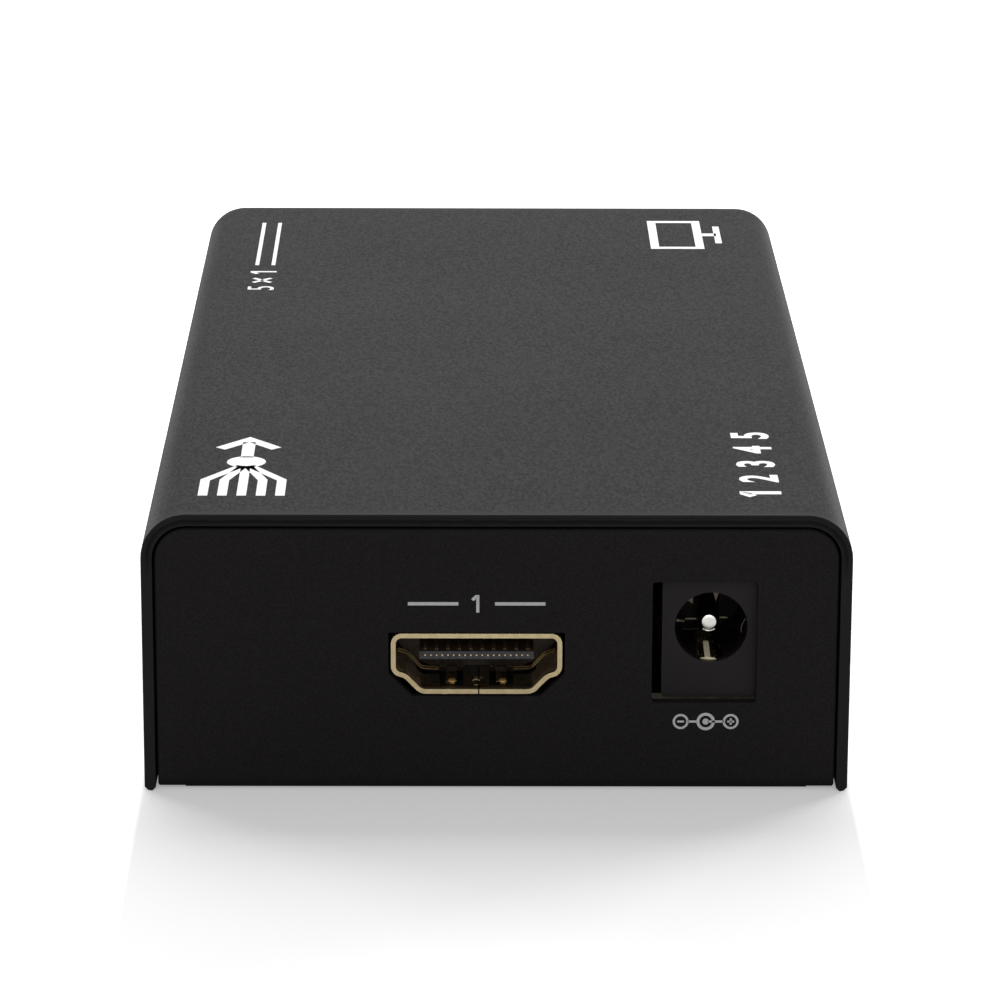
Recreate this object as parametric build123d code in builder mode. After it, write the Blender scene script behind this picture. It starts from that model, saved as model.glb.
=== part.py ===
from build123d import *

import os

# A metal-cased video switch box: one socket and the power inlet in the near end, four more
# inputs and the output along the left side, lamps, remote window and select button on the right.
# Frame: +X right and +Y away as seen at the near end, +Z up, origin under the middle of the case.

# Case
case_width = 62.0
case_length = 116.0
case_height = 25.4
case_corner = 4.0
cover_sheet = 1.0
chassis_sheet = 1.0
chassis_bend = 0.2
side_seam = 0.2
top_seam = 0.3
panel_recess = 0.2

# Board and what stands on it
pillar_height = 5.8
board_sheet = 1.6
socket_lift = 3.3
jack_lift = 6.4
front_lift = 3.6

# Places along the walls, from the case's sides and ends
end_socket_share = -0.0565
jack_side_gap = 12.2
side_end_gap = 18.0
button_end_gap = 26.0
lamp_sensor_gap = 10.0
lamp_button_gap = 12.0
sensor_screw_gap = 7.85

# Clearances
overrun = 2.0
fit_gap = 0.03
board_gap = 0.1

wall_inside = case_width / 2 - cover_sheet
chassis_half = wall_inside - side_seam
panel_face = case_length / 2 - panel_recess
panel_back = panel_face - chassis_sheet
panel_top = case_height - cover_sheet - top_seam
board_top = chassis_sheet + pillar_height + board_sheet
board_bottom = board_top - board_sheet
socket_axis = board_top + socket_lift
jack_axis = board_top + jack_lift
front_axis = board_top + front_lift

# Each socket's rim stands just behind the sheet it looks through, and past the board's edge.
end_rim_recess = 0.2
side_rim_gap = 0.2
rim_overhang = 1.8
end_rim_y = panel_face - end_rim_recess
side_rim_x = wall_inside - side_rim_gap
board_half_length = end_rim_y - rim_overhang
board_half_width = side_rim_x - rim_overhang
end_socket_x = end_socket_share * case_width / 2
jack_x = case_width / 2 - jack_side_gap

os.makedirs("parts", exist_ok=True)


def keep(builder, name):
    """Labels a finished piece and writes it under its node name."""
    builder.part.label = name
    export_step(builder.part, f"parts/{name}.step")


def end_plane(across, up, out):
    """A plane on the near end: x right, y up, z towards the viewer."""
    return Plane(origin=(across, -out, up), x_dir=(1, 0, 0), z_dir=(0, -1, 0))


def left_plane(along, up, out):
    """A plane on the left side, as seen from the left."""
    return Plane(origin=(-out, along, up), x_dir=(0, -1, 0), z_dir=(-1, 0, 0))


def right_plane(along, up, out):
    """A plane on the right side, as seen from the right."""
    return Plane(origin=(out, along, up), x_dir=(0, 1, 0), z_dir=(1, 0, 0))


def side_section(across=0):
    """A plane for profiles of pieces made in a wall's own frame: x is depth behind the wall, y is up."""
    return Plane(origin=(across, 0, 0), x_dir=(0, 0, -1), z_dir=(1, 0, 0))


# The side sockets run on from the near end's corner: inputs 2 to 5, then the output.
side_sockets = ["input_2", "input_3", "input_4", "input_5", "output"]
socket_spacing = (case_length - 2 * side_end_gap) / (len(side_sockets) - 1)
socket_rows = {"input_1": end_plane(end_socket_x, socket_axis, end_rim_y)}
for place, socket in enumerate(side_sockets):
    along = place * socket_spacing + side_end_gap - case_length / 2
    socket_rows[socket] = left_plane(along, socket_axis, side_rim_x)

# Video socket, in its own frame: rim centre at the origin, x right, y up, z out of the box.
rim_width = 15.0
rim_height = 5.55
rim_band = 0.42
rim_flare = 0.12
rim_lip = 0.5
rim_side_drop = 1.0
rim_shoulder_in = 1.15
rim_shoulder_drop = 1.3
rim_floor_half = 4.95
rim_rounds = (1.2, 1.0, 1.0, 0.95)
block_cuts = (0.7, 0.1, 0.8, 0.95)
shell_depth = 10.6
shell_seam = 0.12
shell_seam_x = 0.2
rim_half = rim_width / 2
rim_rise = rim_height / 2
shell_sheet = rim_band - rim_flare
board_below = -socket_lift



def rim_outline(soften, sizes):
    """The socket's outline. Its corners are rounded or cut, by sizes from the floor's up to the top's."""
    with BuildSketch() as outline:
        with BuildLine():
            Polyline(
                (-rim_half, rim_rise),
                (rim_half, rim_rise),
                (rim_half, -rim_side_drop),
                (rim_half - rim_shoulder_in, -rim_shoulder_drop),
                (rim_floor_half, -rim_rise),
                (-rim_floor_half, -rim_rise),
                (rim_shoulder_in - rim_half, -rim_shoulder_drop),
                (-rim_half, -rim_side_drop),
                close=True,
            )
        make_face()
        levels = (-rim_rise, -rim_shoulder_drop, -rim_side_drop, rim_rise)
        for level, size in zip(levels, sizes):
            row = outline.vertices().filter_by_position(Axis.Y, level - fit_gap, level + fit_gap)
            soften(row, size)
    return outline.sketch


rim_face = rim_outline(fillet, rim_rounds)

# Spring fingers of the shell, two in its floor and two in its roof, free at the mouth.
finger_x = 2.2
finger_width = 0.95
finger_slot = 0.57
finger_tip_depth = 1.6
finger_root_depth = 6.9
finger_sheet = 0.2
finger_rise = 0.5
finger_hump_depth = 3.4
finger_tip_rise = 0.15
finger_round = 0.5

# Windows beside the fingers' roots, the seam's lock, the legs and the notch for the insulator's foot.
window_x = 4.15
window_width = 2.3
window_length = 2.0
window_depth = 5.15
lock_width = 0.9
lock_length = 0.6
lock_depth = 3.1
leg_depths = (3.2, 8.8)
leg_width = 1.0
leg_reach = 0.8
foot_half = 4.2
foot_depth = 7.7
insulator_front = 6.5


def socket_shell():
    """The folded shell: flared rim, seamed floor, spring fingers and four legs."""
    with BuildPart() as shell:
        add(rim_face)
        extrude(amount=-rim_lip)
        with BuildSketch() as outside:
            add(rim_face)
            offset(amount=-rim_flare)
        extrude(amount=-shell_depth)
        with BuildSketch(Plane.XY.offset(overrun)) as inside:
            add(rim_face)
            offset(amount=-rim_band)
        extrude(amount=-(shell_depth + 2 * overrun), mode=Mode.SUBTRACT)

        # Cuts in floor and roof round each finger: the finger's own sheet is put back bent.
        finger_length = finger_root_depth - finger_tip_depth + finger_slot
        slot_plane = Plane.XZ.offset(-rim_rise)
        slot_middle = finger_length / 2 - finger_root_depth
        with BuildSketch(slot_plane) as slots:
            with Locations((-finger_x, slot_middle), (finger_x, slot_middle)):
                Rectangle(finger_width + 2 * finger_slot, finger_length)
        extrude(amount=rim_height, mode=Mode.SUBTRACT)

        # Floor only: windows, the seam and its lock, and the notch for the insulator's foot.
        with BuildSketch(Plane.XZ) as floor_cuts:
            with Locations((-window_x, -window_depth), (window_x, -window_depth)):
                Rectangle(window_width, window_length)
            with Locations((shell_seam_x, 0)):
                Rectangle(shell_seam, 2 * shell_depth + overrun)
            with Locations((shell_seam_x, -lock_depth)):
                Rectangle(lock_width, lock_length)
            with Locations((0, -shell_depth)):
                Rectangle(2 * (foot_half + fit_gap), 2 * (shell_depth - foot_depth + fit_gap))
        extrude(amount=rim_height, mode=Mode.SUBTRACT)

        for side in (-1, 1):
            for across in (-finger_x, finger_x):
                wall = side * (rim_rise - rim_band)
                with BuildSketch(side_section(across)) as finger:
                    with BuildLine():
                        FilletPolyline(
                            (finger_root_depth + finger_slot, wall),
                            (finger_root_depth - finger_slot, wall),
                            (finger_hump_depth, wall - side * finger_rise),
                            (finger_tip_depth, wall - side * finger_tip_rise),
                            radius=finger_round,
                        )
                        offset(amount=finger_sheet, side=Side.LEFT if side < 0 else Side.RIGHT)
                    make_face()
                extrude(amount=finger_width / 2, both=True)

        for side in (-1, 1):
            for depth in leg_depths:
                with BuildSketch(side_section(side * (rim_half - rim_flare - shell_sheet / 2))) as leg:
                    with Locations((depth, 0)):
                        Rectangle(
                            leg_width,
                            socket_lift + board_sheet + leg_reach,
                            align=(Align.CENTER, Align.MAX),
                        )
                extrude(amount=shell_sheet / 2, both=True)
    return shell.part


# Tongue and contacts: ten strips on the tongue, nine under it, half a millimetre apart.
tongue_lift = 0.5
tongue_sheet = 0.7
tongue_half = 5.02
tongue_front = 0.9
contact_inset = 0.45
contact_spacing = 0.5
contact_width = 0.3
contact_sheet = 0.15
contact_count = 19
contact_tail = 0.8
tongue_top = tongue_lift + tongue_sheet / 2
tongue_under = tongue_lift - tongue_sheet / 2
row_half = (contact_count - 1) / 2 * contact_spacing


def socket_insulator():
    """The moulded block at the back of the shell, with the tongue and a slot for each row of contacts."""
    with BuildPart() as insulator:
        with BuildSketch(Plane.XY.offset(-insulator_front)) as block:
            add(rim_outline(chamfer, block_cuts))
            offset(amount=-(rim_band + fit_gap), kind=Kind.INTERSECTION)
        extrude(amount=insulator_front - shell_depth)
        with BuildSketch(Plane.XY.offset(-foot_depth)) as foot:
            with Locations((0, board_below)):
                Rectangle(2 * foot_half, socket_lift, align=(Align.CENTER, Align.MIN))
        extrude(amount=foot_depth - shell_depth)
        with BuildSketch(Plane.XY.offset(-tongue_front)) as tongue:
            with Locations((0, tongue_lift)):
                Rectangle(2 * tongue_half, tongue_sheet)
        extrude(amount=tongue_front - insulator_front - overrun)
        with BuildSketch(Plane.XY.offset(-insulator_front)) as rows:
            slot_sheet = contact_sheet + fit_gap
            with Locations((0, tongue_top + slot_sheet / 2), (0, tongue_under - slot_sheet / 2)):
                Rectangle(2 * row_half + contact_width + 2 * fit_gap, slot_sheet)
        extrude(amount=insulator_front - shell_depth - overrun, mode=Mode.SUBTRACT)
    return insulator.part


def socket_contacts():
    """Nineteen bent strips: along the tongue from just behind its nose, down behind and onto the board."""
    front = tongue_front + contact_inset
    rear = shell_depth + fit_gap
    tail_end = rear + contact_tail
    upper = [
        (front, tongue_top + contact_sheet),
        (rear + contact_sheet, tongue_top + contact_sheet),
        (rear + contact_sheet, board_below + contact_sheet),
        (tail_end, board_below + contact_sheet),
        (tail_end, board_below),
        (rear, board_below),
        (rear, tongue_top),
        (front, tongue_top),
    ]
    lower = [
        (front, tongue_under - contact_sheet),
        (rear, tongue_under - contact_sheet),
        (rear, board_below),
        (tail_end, board_below),
        (tail_end, board_below + contact_sheet),
        (rear + contact_sheet, board_below + contact_sheet),
        (rear + contact_sheet, tongue_under),
        (front, tongue_under),
    ]
    with BuildPart() as contacts:
        for place in range(contact_count):
            across = place * contact_spacing - row_half
            with BuildSketch(side_section(across)) as profile:
                with BuildLine():
                    Polyline(*(lower if place % 2 else upper), close=True)
                make_face()
            extrude(amount=contact_width / 2, both=True)
    return contacts.part


shell_master = socket_shell()
insulator_master = socket_insulator()
contacts_master = socket_contacts()
for socket, plane in socket_rows.items():
    for piece, master in (
        ("shell", shell_master),
        ("insulator", insulator_master),
        ("contacts", contacts_master),
    ):
        with BuildPart() as placed:
            add(master.moved(plane.location))
        keep(placed, f"{socket}_{piece}")

# Opening for a socket: the rim's box with straight cut lower corners.
opening_side_gap = 0.22
opening_end_gap = 0.17
opening_chamfer = 2.1
opening_half = rim_half + opening_side_gap
opening_rise = rim_rise + opening_end_gap

with BuildSketch() as socket_opening:
    with BuildLine():
        Polyline(
            (-opening_half, opening_rise),
            (opening_half, opening_rise),
            (opening_half, opening_chamfer - opening_rise),
            (opening_half - opening_chamfer, -opening_rise),
            (opening_chamfer - opening_half, -opening_rise),
            (-opening_half, opening_chamfer - opening_rise),
            close=True,
        )
    make_face()

# Power inlet, in its own frame: the bore's axis at the origin, x right, y up, z out of the box.
jack_width = 8.6
jack_height = 11.0
jack_face_depth = 3.4
jack_face_round = 0.3
jack_body_width = 8.4
jack_body_depth = 14.0
jack_body_top = 4.0
jack_body_round = 2.4
jack_bore = 6.4
jack_bore_depth = 9.6
jack_behind = 0.15
jack_slot_width = 2.4
jack_slot_front = 1.1
jack_slot_wall = 1.0
jack_pin_diameter = 2.0
jack_pin_tip = 1.8
jack_pin_edge = 0.45
jack_plate = 0.4
jack_rivet = 1.4
jack_leg_width = 2.2
jack_leg_reach = 0.9
jack_opening_width = 9.2
jack_opening_height = 11.1
jack_opening_aside = 0.6
jack_opening_drop = 0.15
jack_opening_round = 0.3
jack_floor = -jack_lift
jack_leg_end = jack_floor - board_sheet - jack_leg_reach
jack_face_y = panel_back - jack_behind
jack_plane = end_plane(jack_x, jack_axis, jack_face_y)

# Sleeve spring: lip turned down at the mouth, hump on the plug's sleeve, then down through the board.
spring_width = 1.7
spring_sheet = 0.3
spring_lip = (1.25, -3.9)
spring_neck = (1.3, -2.95)
spring_hump = (4.2, -2.6)
spring_rear_gap = 1.7
spring_drop = -4.3
spring_back = (jack_body_depth - spring_rear_gap, spring_drop)
spring_bend = 0.45

# Switch terminal: a tab under the spring, through the housing's side, with its leg outside.
tab_depth = 7.2
tab_width = 1.5
tab_sheet = 0.3
tab_reach = 3.6

spring_fall = (spring_hump[1] - spring_back[1]) / (spring_back[0] - spring_hump[0])
tab_top = spring_hump[1] - (tab_depth + tab_width / 2 - spring_hump[0]) * spring_fall
tab_top = tab_top - spring_sheet - 2 * fit_gap
tab_outside = jack_body_width / 2 + fit_gap + tab_sheet

with BuildPart() as jack_housing_master:
    with BuildSketch() as jack_front:
        with Locations((0, jack_floor)):
            Rectangle(jack_width, jack_height, align=(Align.CENTER, Align.MIN))
        fillet(jack_front.vertices(), jack_face_round)
    extrude(amount=-jack_face_depth)
    with BuildSketch(Plane.XY.offset(-jack_face_depth)) as jack_rear:
        with Locations((0, jack_floor)):
            Rectangle(
                jack_body_width,
                jack_body_top - jack_floor,
                align=(Align.CENTER, Align.MIN),
            )
        fillet(jack_rear.vertices().group_by(Axis.Y)[-1], jack_body_round)
    extrude(amount=jack_face_depth - jack_body_depth)
    with BuildSketch() as jack_bore_face:
        Circle(jack_bore / 2)
    extrude(amount=-jack_bore_depth, mode=Mode.SUBTRACT)
    with BuildSketch() as pin_seat:
        Circle(jack_pin_diameter / 2 + fit_gap)
    extrude(amount=-(jack_body_depth + overrun), mode=Mode.SUBTRACT)
    with BuildSketch(Plane.XZ) as spring_slot:
        with Locations((0, -jack_slot_front)):
            Rectangle(
                jack_slot_width,
                jack_body_depth - jack_slot_wall - jack_slot_front,
                align=(Align.CENTER, Align.MAX),
            )
    extrude(amount=jack_lift + overrun, mode=Mode.SUBTRACT)
    with BuildSketch(side_section()) as tab_window:
        with Locations((tab_depth, tab_top - tab_sheet / 2)):
            Rectangle(tab_width + 2 * fit_gap, tab_sheet + 2 * fit_gap)
    extrude(amount=jack_width, mode=Mode.SUBTRACT)

with BuildPart() as jack_pin_master:
    with BuildSketch(Plane.XY.offset(-jack_pin_tip)) as pin_round:
        Circle(jack_pin_diameter / 2)
    extrude(amount=jack_pin_tip - jack_body_depth - jack_plate)
    chamfer(jack_pin_master.edges().group_by(Axis.Z)[-1], jack_pin_edge)
    with BuildSketch(Plane.XY.offset(-jack_body_depth - jack_plate)) as rivet_round:
        Circle(jack_rivet)
    extrude(amount=-jack_plate)

with BuildPart() as jack_terminal_master:
    with BuildSketch(Plane.XY.offset(-jack_body_depth)) as terminal_face:
        with Locations((0, jack_leg_end)):
            Rectangle(
                jack_leg_width,
                jack_rivet + jack_plate - jack_leg_end,
                align=(Align.CENTER, Align.MIN),
            )
        Circle(jack_rivet + jack_plate)
        Circle(jack_pin_diameter / 2 + fit_gap, mode=Mode.SUBTRACT)
    extrude(amount=-jack_plate)

with BuildPart() as jack_spring_master:
    with BuildSketch(side_section()) as spring_side:
        with BuildLine():
            FilletPolyline(
                spring_lip,
                spring_neck,
                spring_hump,
                spring_back,
                (spring_back[0], jack_leg_end),
                radius=spring_bend,
            )
            offset(amount=spring_sheet, side=Side.RIGHT)
        make_face()
    extrude(amount=spring_width / 2, both=True)

with BuildPart() as jack_switch_master:
    with BuildSketch(Plane.XY.offset(tab_width / 2 - tab_depth)) as tab_front:
        with BuildLine():
            Polyline(
                (tab_outside - tab_reach, tab_top),
                (tab_outside, tab_top),
                (tab_outside, jack_leg_end),
                (tab_outside - tab_sheet, jack_leg_end),
                (tab_outside - tab_sheet, tab_top - tab_sheet),
                (tab_outside - tab_reach, tab_top - tab_sheet),
                close=True,
            )
        make_face()
    extrude(amount=-tab_width)

for name, master in (
    ("jack_housing", jack_housing_master),
    ("jack_pin", jack_pin_master),
    ("jack_pin_terminal", jack_terminal_master),
    ("jack_sleeve_spring", jack_spring_master),
    ("jack_switch_terminal", jack_switch_master),
):
    with BuildPart() as placed:
        add(master.part.moved(jack_plane.location))
    keep(placed, name)

# Along the right side: the board screw behind the inlet, remote sensor, lamps, select button.
jack_screw_gap = 4.8
jack_screw_y = jack_body_depth + jack_screw_gap - jack_face_y
sensor_y = jack_screw_y + sensor_screw_gap
button_y = case_length / 2 - button_end_gap
lamp_count = 5
lamp_first = sensor_y + lamp_sensor_gap
lamp_spacing = (button_y - lamp_button_gap - lamp_first) / (lamp_count - 1)
lamp_rows = [lamp_first + place * lamp_spacing for place in range(lamp_count)]
button_hole = 3.2
lamp_radius = 1.5
lamp_gap = 0.15
lamp_hole = lamp_radius + lamp_gap
pane_width = 8.0
pane_height = 4.6
pane_corner = 1.2

# Cover screws, countersunk through the cover into the chassis tabs.
screw_head = 4.6
screw_hole = 2.6
screw_shank = 2.4
screw_length = 4.0
screw_cone = 90
cover_screw_z = 4.5
chassis_tab_length = 11.0
chassis_tab_height = 8.0
chassis_tab_end_gap = 0.6
chassis_tab_relief = 1.2
chassis_tab_root = 2.4
chassis_tab_corner = 1.5
cover_screw_y = panel_back - chassis_tab_end_gap - chassis_tab_length / 2
cover_screw_planes = [
    plane(along, cover_screw_z, case_width / 2)
    for plane in (left_plane, right_plane)
    for along in (-cover_screw_y, cover_screw_y)
]

# Cover: one sheet bent over the long edges, its cut ends softened.
cover_end_edge = 0.18
cover_toe_edge = 0.3

with BuildSketch() as cover_hollow:
    Rectangle(
        2 * wall_inside,
        case_height - cover_sheet,
        align=(Align.CENTER, Align.MIN),
    )
    fillet(cover_hollow.vertices().group_by(Axis.Y)[-1], case_corner - cover_sheet)

with BuildPart() as cover:
    with BuildSketch(Plane.XZ.offset(-case_length / 2)) as cover_profile:
        Rectangle(case_width, case_height, align=(Align.CENTER, Align.MIN))
        fillet(cover_profile.vertices().group_by(Axis.Y)[-1], case_corner)
        add(cover_hollow.sketch, mode=Mode.SUBTRACT)
    extrude(amount=case_length)
    toes = cover.edges().filter_by(Axis.Y).group_by(Axis.Z)[0]
    chamfer(toes, cover_toe_edge)
    for end in (0, -1):
        rim = cover.faces().sort_by(Axis.Y)[end]
        rim_edges = [
            edge
            for edge in rim.edges()
            if abs(edge.center().X) > wall_inside + cover_sheet / 2
            or edge.center().Z > case_height - cover_sheet / 2
            or (
                edge.geom_type == GeomType.CIRCLE
                and abs(edge.radius - case_corner) < fit_gap
            )
        ]
        chamfer(rim_edges, cover_end_edge)
    for socket in side_sockets:
        with BuildSketch(socket_rows[socket]) as opening:
            add(socket_opening.sketch)
        extrude(amount=cover_sheet + overrun, mode=Mode.SUBTRACT)
    with BuildSketch(right_plane(0, front_axis, wall_inside)) as front_openings:
        with Locations((button_y, 0)):
            Circle(button_hole)
        with Locations(*[(along, 0) for along in lamp_rows]):
            Circle(lamp_hole)
        with Locations((sensor_y, 0)):
            RectangleRounded(pane_width, pane_height, pane_corner)
    extrude(amount=cover_sheet + overrun, mode=Mode.SUBTRACT)
    for plane in cover_screw_planes:
        with Locations(plane.location):
            CounterSinkHole(
                screw_hole / 2,
                screw_head / 2,
                depth=cover_sheet + side_seam / 2,
                counter_sink_angle=screw_cone,
            )
keep(cover, "cover")

# Pillar and screw places: near the board's corners, one moved back to clear the power inlet.
board_screw_inset = 4.5
board_screw_end = 3.8
screw_right = board_half_width - board_screw_inset
screw_far = board_half_length - board_screw_end
pillar_places = [
    (-screw_right, -screw_far),
    (screw_right, jack_screw_y),
    (-screw_right, screw_far),
    (screw_right, screw_far),
]
pillar_sides = 6
pillar_radius = 2.75
pillar_bore = 1.5
pillar_neck = 2.0

# Chassis: base and both end panels bent from one sheet, with a tab near each corner.
panel_corner = case_corner - cover_sheet - side_seam
panel_edge = 0.12

with BuildSketch() as chassis_hollow:
    with Locations((0, chassis_sheet)):
        Rectangle(2 * panel_back, case_height, align=(Align.CENTER, Align.MIN))
    fillet(chassis_hollow.vertices().group_by(Axis.Y)[0], chassis_bend)

with BuildPart() as chassis:
    with BuildSketch(Plane.YZ) as chassis_side:
        Rectangle(2 * panel_face, panel_top, align=(Align.CENTER, Align.MIN))
        fillet(chassis_side.vertices().group_by(Axis.Y)[0], chassis_bend + chassis_sheet)
        add(chassis_hollow.sketch, mode=Mode.SUBTRACT)
    extrude(amount=chassis_half, both=True)
    corners = chassis.edges().filter_by(Axis.Y).group_by(Axis.Z)[-1]
    fillet(corners, panel_corner)
    # The panel's outer edge runs on round the bends and the base to the far panel.
    near_panel = chassis.faces().sort_by(Axis.Y)[0]
    chamfer(near_panel.edges().sort_by(Axis.Z)[-1], panel_edge)
    notch_length = chassis_tab_length + 2 * chassis_tab_relief
    with BuildSketch() as notches:
        for side in (-1, 1):
            for end in (-1, 1):
                with Locations((side * chassis_half, end * cover_screw_y)):
                    Rectangle(2 * chassis_tab_root, notch_length)
    extrude(amount=chassis_sheet, mode=Mode.SUBTRACT)
    for end in (-1, 1):
        with BuildSketch(Plane.XZ.offset(-end * cover_screw_y)) as tab_profiles:
            for side in (-1, 1):
                with BuildLine():
                    FilletPolyline(
                        (side * (chassis_half - chassis_tab_root - fit_gap), 0),
                        (side * chassis_half, 0),
                        (side * chassis_half, chassis_tab_height),
                        radius=chassis_bend + chassis_sheet,
                    )
                    offset(
                        amount=chassis_sheet,
                        side=Side.LEFT if side > 0 else Side.RIGHT,
                    )
                make_face()
        extrude(amount=chassis_tab_length / 2, both=True)
    tab_corners = chassis.edges().filter_by(Axis.X).filter_by_position(
        Axis.Z, chassis_tab_height - fit_gap, chassis_tab_height + fit_gap
    )
    chamfer(tab_corners, chassis_tab_corner)
    for plane in cover_screw_planes:
        with BuildSketch(plane) as tapped:
            Circle(screw_shank / 2 + fit_gap)
        extrude(amount=-(cover_sheet + side_seam + chassis_sheet + overrun), mode=Mode.SUBTRACT)
    with BuildSketch() as pillar_holes:
        with Locations(*pillar_places):
            Circle(pillar_neck + fit_gap)
    extrude(amount=chassis_sheet, mode=Mode.SUBTRACT)
    with BuildSketch(socket_rows["input_1"]) as opening:
        add(socket_opening.sketch)
    extrude(amount=chassis_sheet + overrun, both=True, mode=Mode.SUBTRACT)
    with BuildSketch(jack_plane) as jack_window:
        with Locations((-jack_opening_aside, jack_floor + jack_height / 2 - jack_opening_drop)):
            Rectangle(jack_opening_width, jack_opening_height)
        fillet(jack_window.vertices(), jack_opening_round)
    extrude(amount=chassis_sheet + overrun, mode=Mode.SUBTRACT)
keep(chassis, "chassis")

with BuildPart() as cover_screws:
    head_depth = (screw_head - screw_shank) / 2
    for plane in cover_screw_planes:
        with BuildSketch(plane.offset(-fit_gap)) as head:
            Circle(screw_head / 2 - fit_gap)
        extrude(amount=-head_depth, taper=screw_cone / 2)
        with BuildSketch(plane.offset(-fit_gap)) as shank:
            Circle(screw_shank / 2)
        extrude(amount=-screw_length)
keep(cover_screws, "cover_screws")

with BuildPart() as board_pillars:
    with BuildSketch() as necks:
        with Locations(*pillar_places):
            Circle(pillar_neck)
            Circle(pillar_bore, mode=Mode.SUBTRACT)
    extrude(amount=chassis_sheet)
    with BuildSketch(Plane.XY.offset(chassis_sheet)) as columns:
        with Locations(*pillar_places):
            RegularPolygon(pillar_radius, pillar_sides)
            Circle(pillar_bore, mode=Mode.SUBTRACT)
    extrude(amount=pillar_height)
keep(board_pillars, "board_pillars")

# Board screws: heads on the board, shanks down into the pillars.
board_screw_head = 2.8
board_screw_height = 1.9
board_screw_shank = 1.45
board_screw_hole = 1.6
board_screw_length = 6.0

with BuildPart() as board_screws:
    with BuildSketch(Plane.XY.offset(board_top)) as heads:
        with Locations(*pillar_places):
            Circle(board_screw_head)
    extrude(amount=board_screw_height)
    with BuildSketch(Plane.XY.offset(board_top)) as shanks:
        with Locations(*pillar_places):
            Circle(board_screw_shank)
    extrude(amount=-board_screw_length)
keep(board_screws, "board_screws")

# Right side, behind the wall: lamps in their holder, the remote sensor and the select switch.
lead_width = 0.5
lead_reach = 0.7
lead_end = board_bottom - lead_reach
lamp_back = 2.6
lamp_flange = 1.9
lamp_flange_sheet = 1.0
lamp_tip_inset = 0.1
lamp_tip_edge = 0.6
lamp_lead_spread = 1.27
holder_thickness = 3.0
holder_top = 2.2
holder_margin = 2.6
lamp_tip_x = case_width / 2 - lamp_tip_inset
lamp_flange_x = wall_inside - lamp_back
holder_back_x = lamp_flange_x - holder_thickness
lamp_lead_x = holder_back_x - lead_width

for place, along in enumerate(lamp_rows):
    with BuildPart() as lamp:
        with BuildSketch(right_plane(along, front_axis, lamp_flange_x)) as flange:
            Circle(lamp_flange)
        extrude(amount=lamp_flange_sheet)
        with BuildSketch(right_plane(along, front_axis, lamp_flange_x)) as barrel:
            Circle(lamp_radius)
        extrude(amount=lamp_tip_x - lamp_flange_x)
        chamfer(lamp.edges().group_by(Axis.X)[-1], lamp_tip_edge)
    keep(lamp, f"lamp_{place + 1}")

with BuildPart() as lamp_holder:
    holder_length = lamp_rows[-1] - lamp_rows[0] + 2 * holder_margin
    with BuildSketch(right_plane(0, front_axis, lamp_flange_x)) as bar:
        with Locations(((lamp_rows[0] + lamp_rows[-1]) / 2, -front_lift)):
            Rectangle(holder_length, front_lift + holder_top, align=(Align.CENTER, Align.MIN))
        with Locations(*[(along, 0) for along in lamp_rows]):
            Rectangle(
                2 * lamp_lead_spread + lead_width + 2 * board_gap,
                lead_width + 2 * board_gap,
                mode=Mode.SUBTRACT,
            )
    extrude(amount=-holder_thickness)
keep(lamp_holder, "lamp_holder")

lamp_lead_places = [
    along + side * lamp_lead_spread for along in lamp_rows for side in (-1, 1)
]
with BuildPart() as lamp_leads:
    for along in lamp_lead_places:
        with BuildSketch(Plane.XZ.offset(-along)) as lead:
            with BuildLine():
                Polyline(
                    (lamp_flange_x, front_axis + lead_width / 2),
                    (lamp_lead_x, front_axis + lead_width / 2),
                    (lamp_lead_x, lead_end),
                    (lamp_lead_x + lead_width, lead_end),
                    (lamp_lead_x + lead_width, front_axis - lead_width / 2),
                    (lamp_flange_x, front_axis - lead_width / 2),
                    close=True,
                )
            make_face()
        extrude(amount=lead_width / 2, both=True)
keep(lamp_leads, "lamp_leads")

# Remote sensor: a moulded block with a round lens, on three leads.
sensor_width = 7.0
sensor_height = 7.2
sensor_thickness = 3.2
sensor_lens = 2.4
sensor_lens_reach = 2.2
sensor_lens_edge = 1.2
sensor_wall_gap = 3.0
sensor_lead_spacing = 2.54
sensor_body_x = wall_inside - sensor_wall_gap - sensor_lens_reach
sensor_plane = right_plane(sensor_y, front_axis, sensor_body_x)
sensor_lift = board_gap

with BuildPart() as remote_sensor:
    with BuildSketch(sensor_plane) as sensor_face:
        with Locations((0, sensor_lift - front_lift)):
            Rectangle(sensor_width, sensor_height, align=(Align.CENTER, Align.MIN))
    extrude(amount=-sensor_thickness)
    with BuildSketch(sensor_plane) as lens_face:
        Circle(sensor_lens)
    extrude(amount=sensor_lens_reach)
    chamfer(remote_sensor.edges().group_by(Axis.X)[-1], sensor_lens_edge)
keep(remote_sensor, "remote_sensor")

sensor_lead_places = [
    (sensor_body_x - sensor_thickness / 2, sensor_y + place * sensor_lead_spacing)
    for place in (-1, 0, 1)
]
with BuildPart() as remote_sensor_leads:
    with BuildSketch(Plane.XY.offset(lead_end)) as leads:
        with Locations(*sensor_lead_places):
            Rectangle(lead_width, lead_width)
    extrude(amount=board_top + sensor_lift - lead_end)
keep(remote_sensor_leads, "remote_sensor_leads")

# Window in front of the sensor: it fills its opening, with a flange behind the wall.
pane_flange = 1.2
pane_flange_sheet = 0.8
pane_inset = 0.1

with BuildPart() as remote_window:
    with BuildSketch(right_plane(sensor_y, front_axis, wall_inside)) as pane:
        RectangleRounded(
            pane_width - 2 * fit_gap,
            pane_height - 2 * fit_gap,
            pane_corner,
        )
    extrude(amount=cover_sheet - pane_inset)
    with BuildSketch(right_plane(sensor_y, front_axis, wall_inside)) as pane_rim:
        Rectangle(pane_width + 2 * pane_flange, pane_height + 2 * pane_flange)
    extrude(amount=-pane_flange_sheet)
keep(remote_window, "remote_window")

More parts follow.
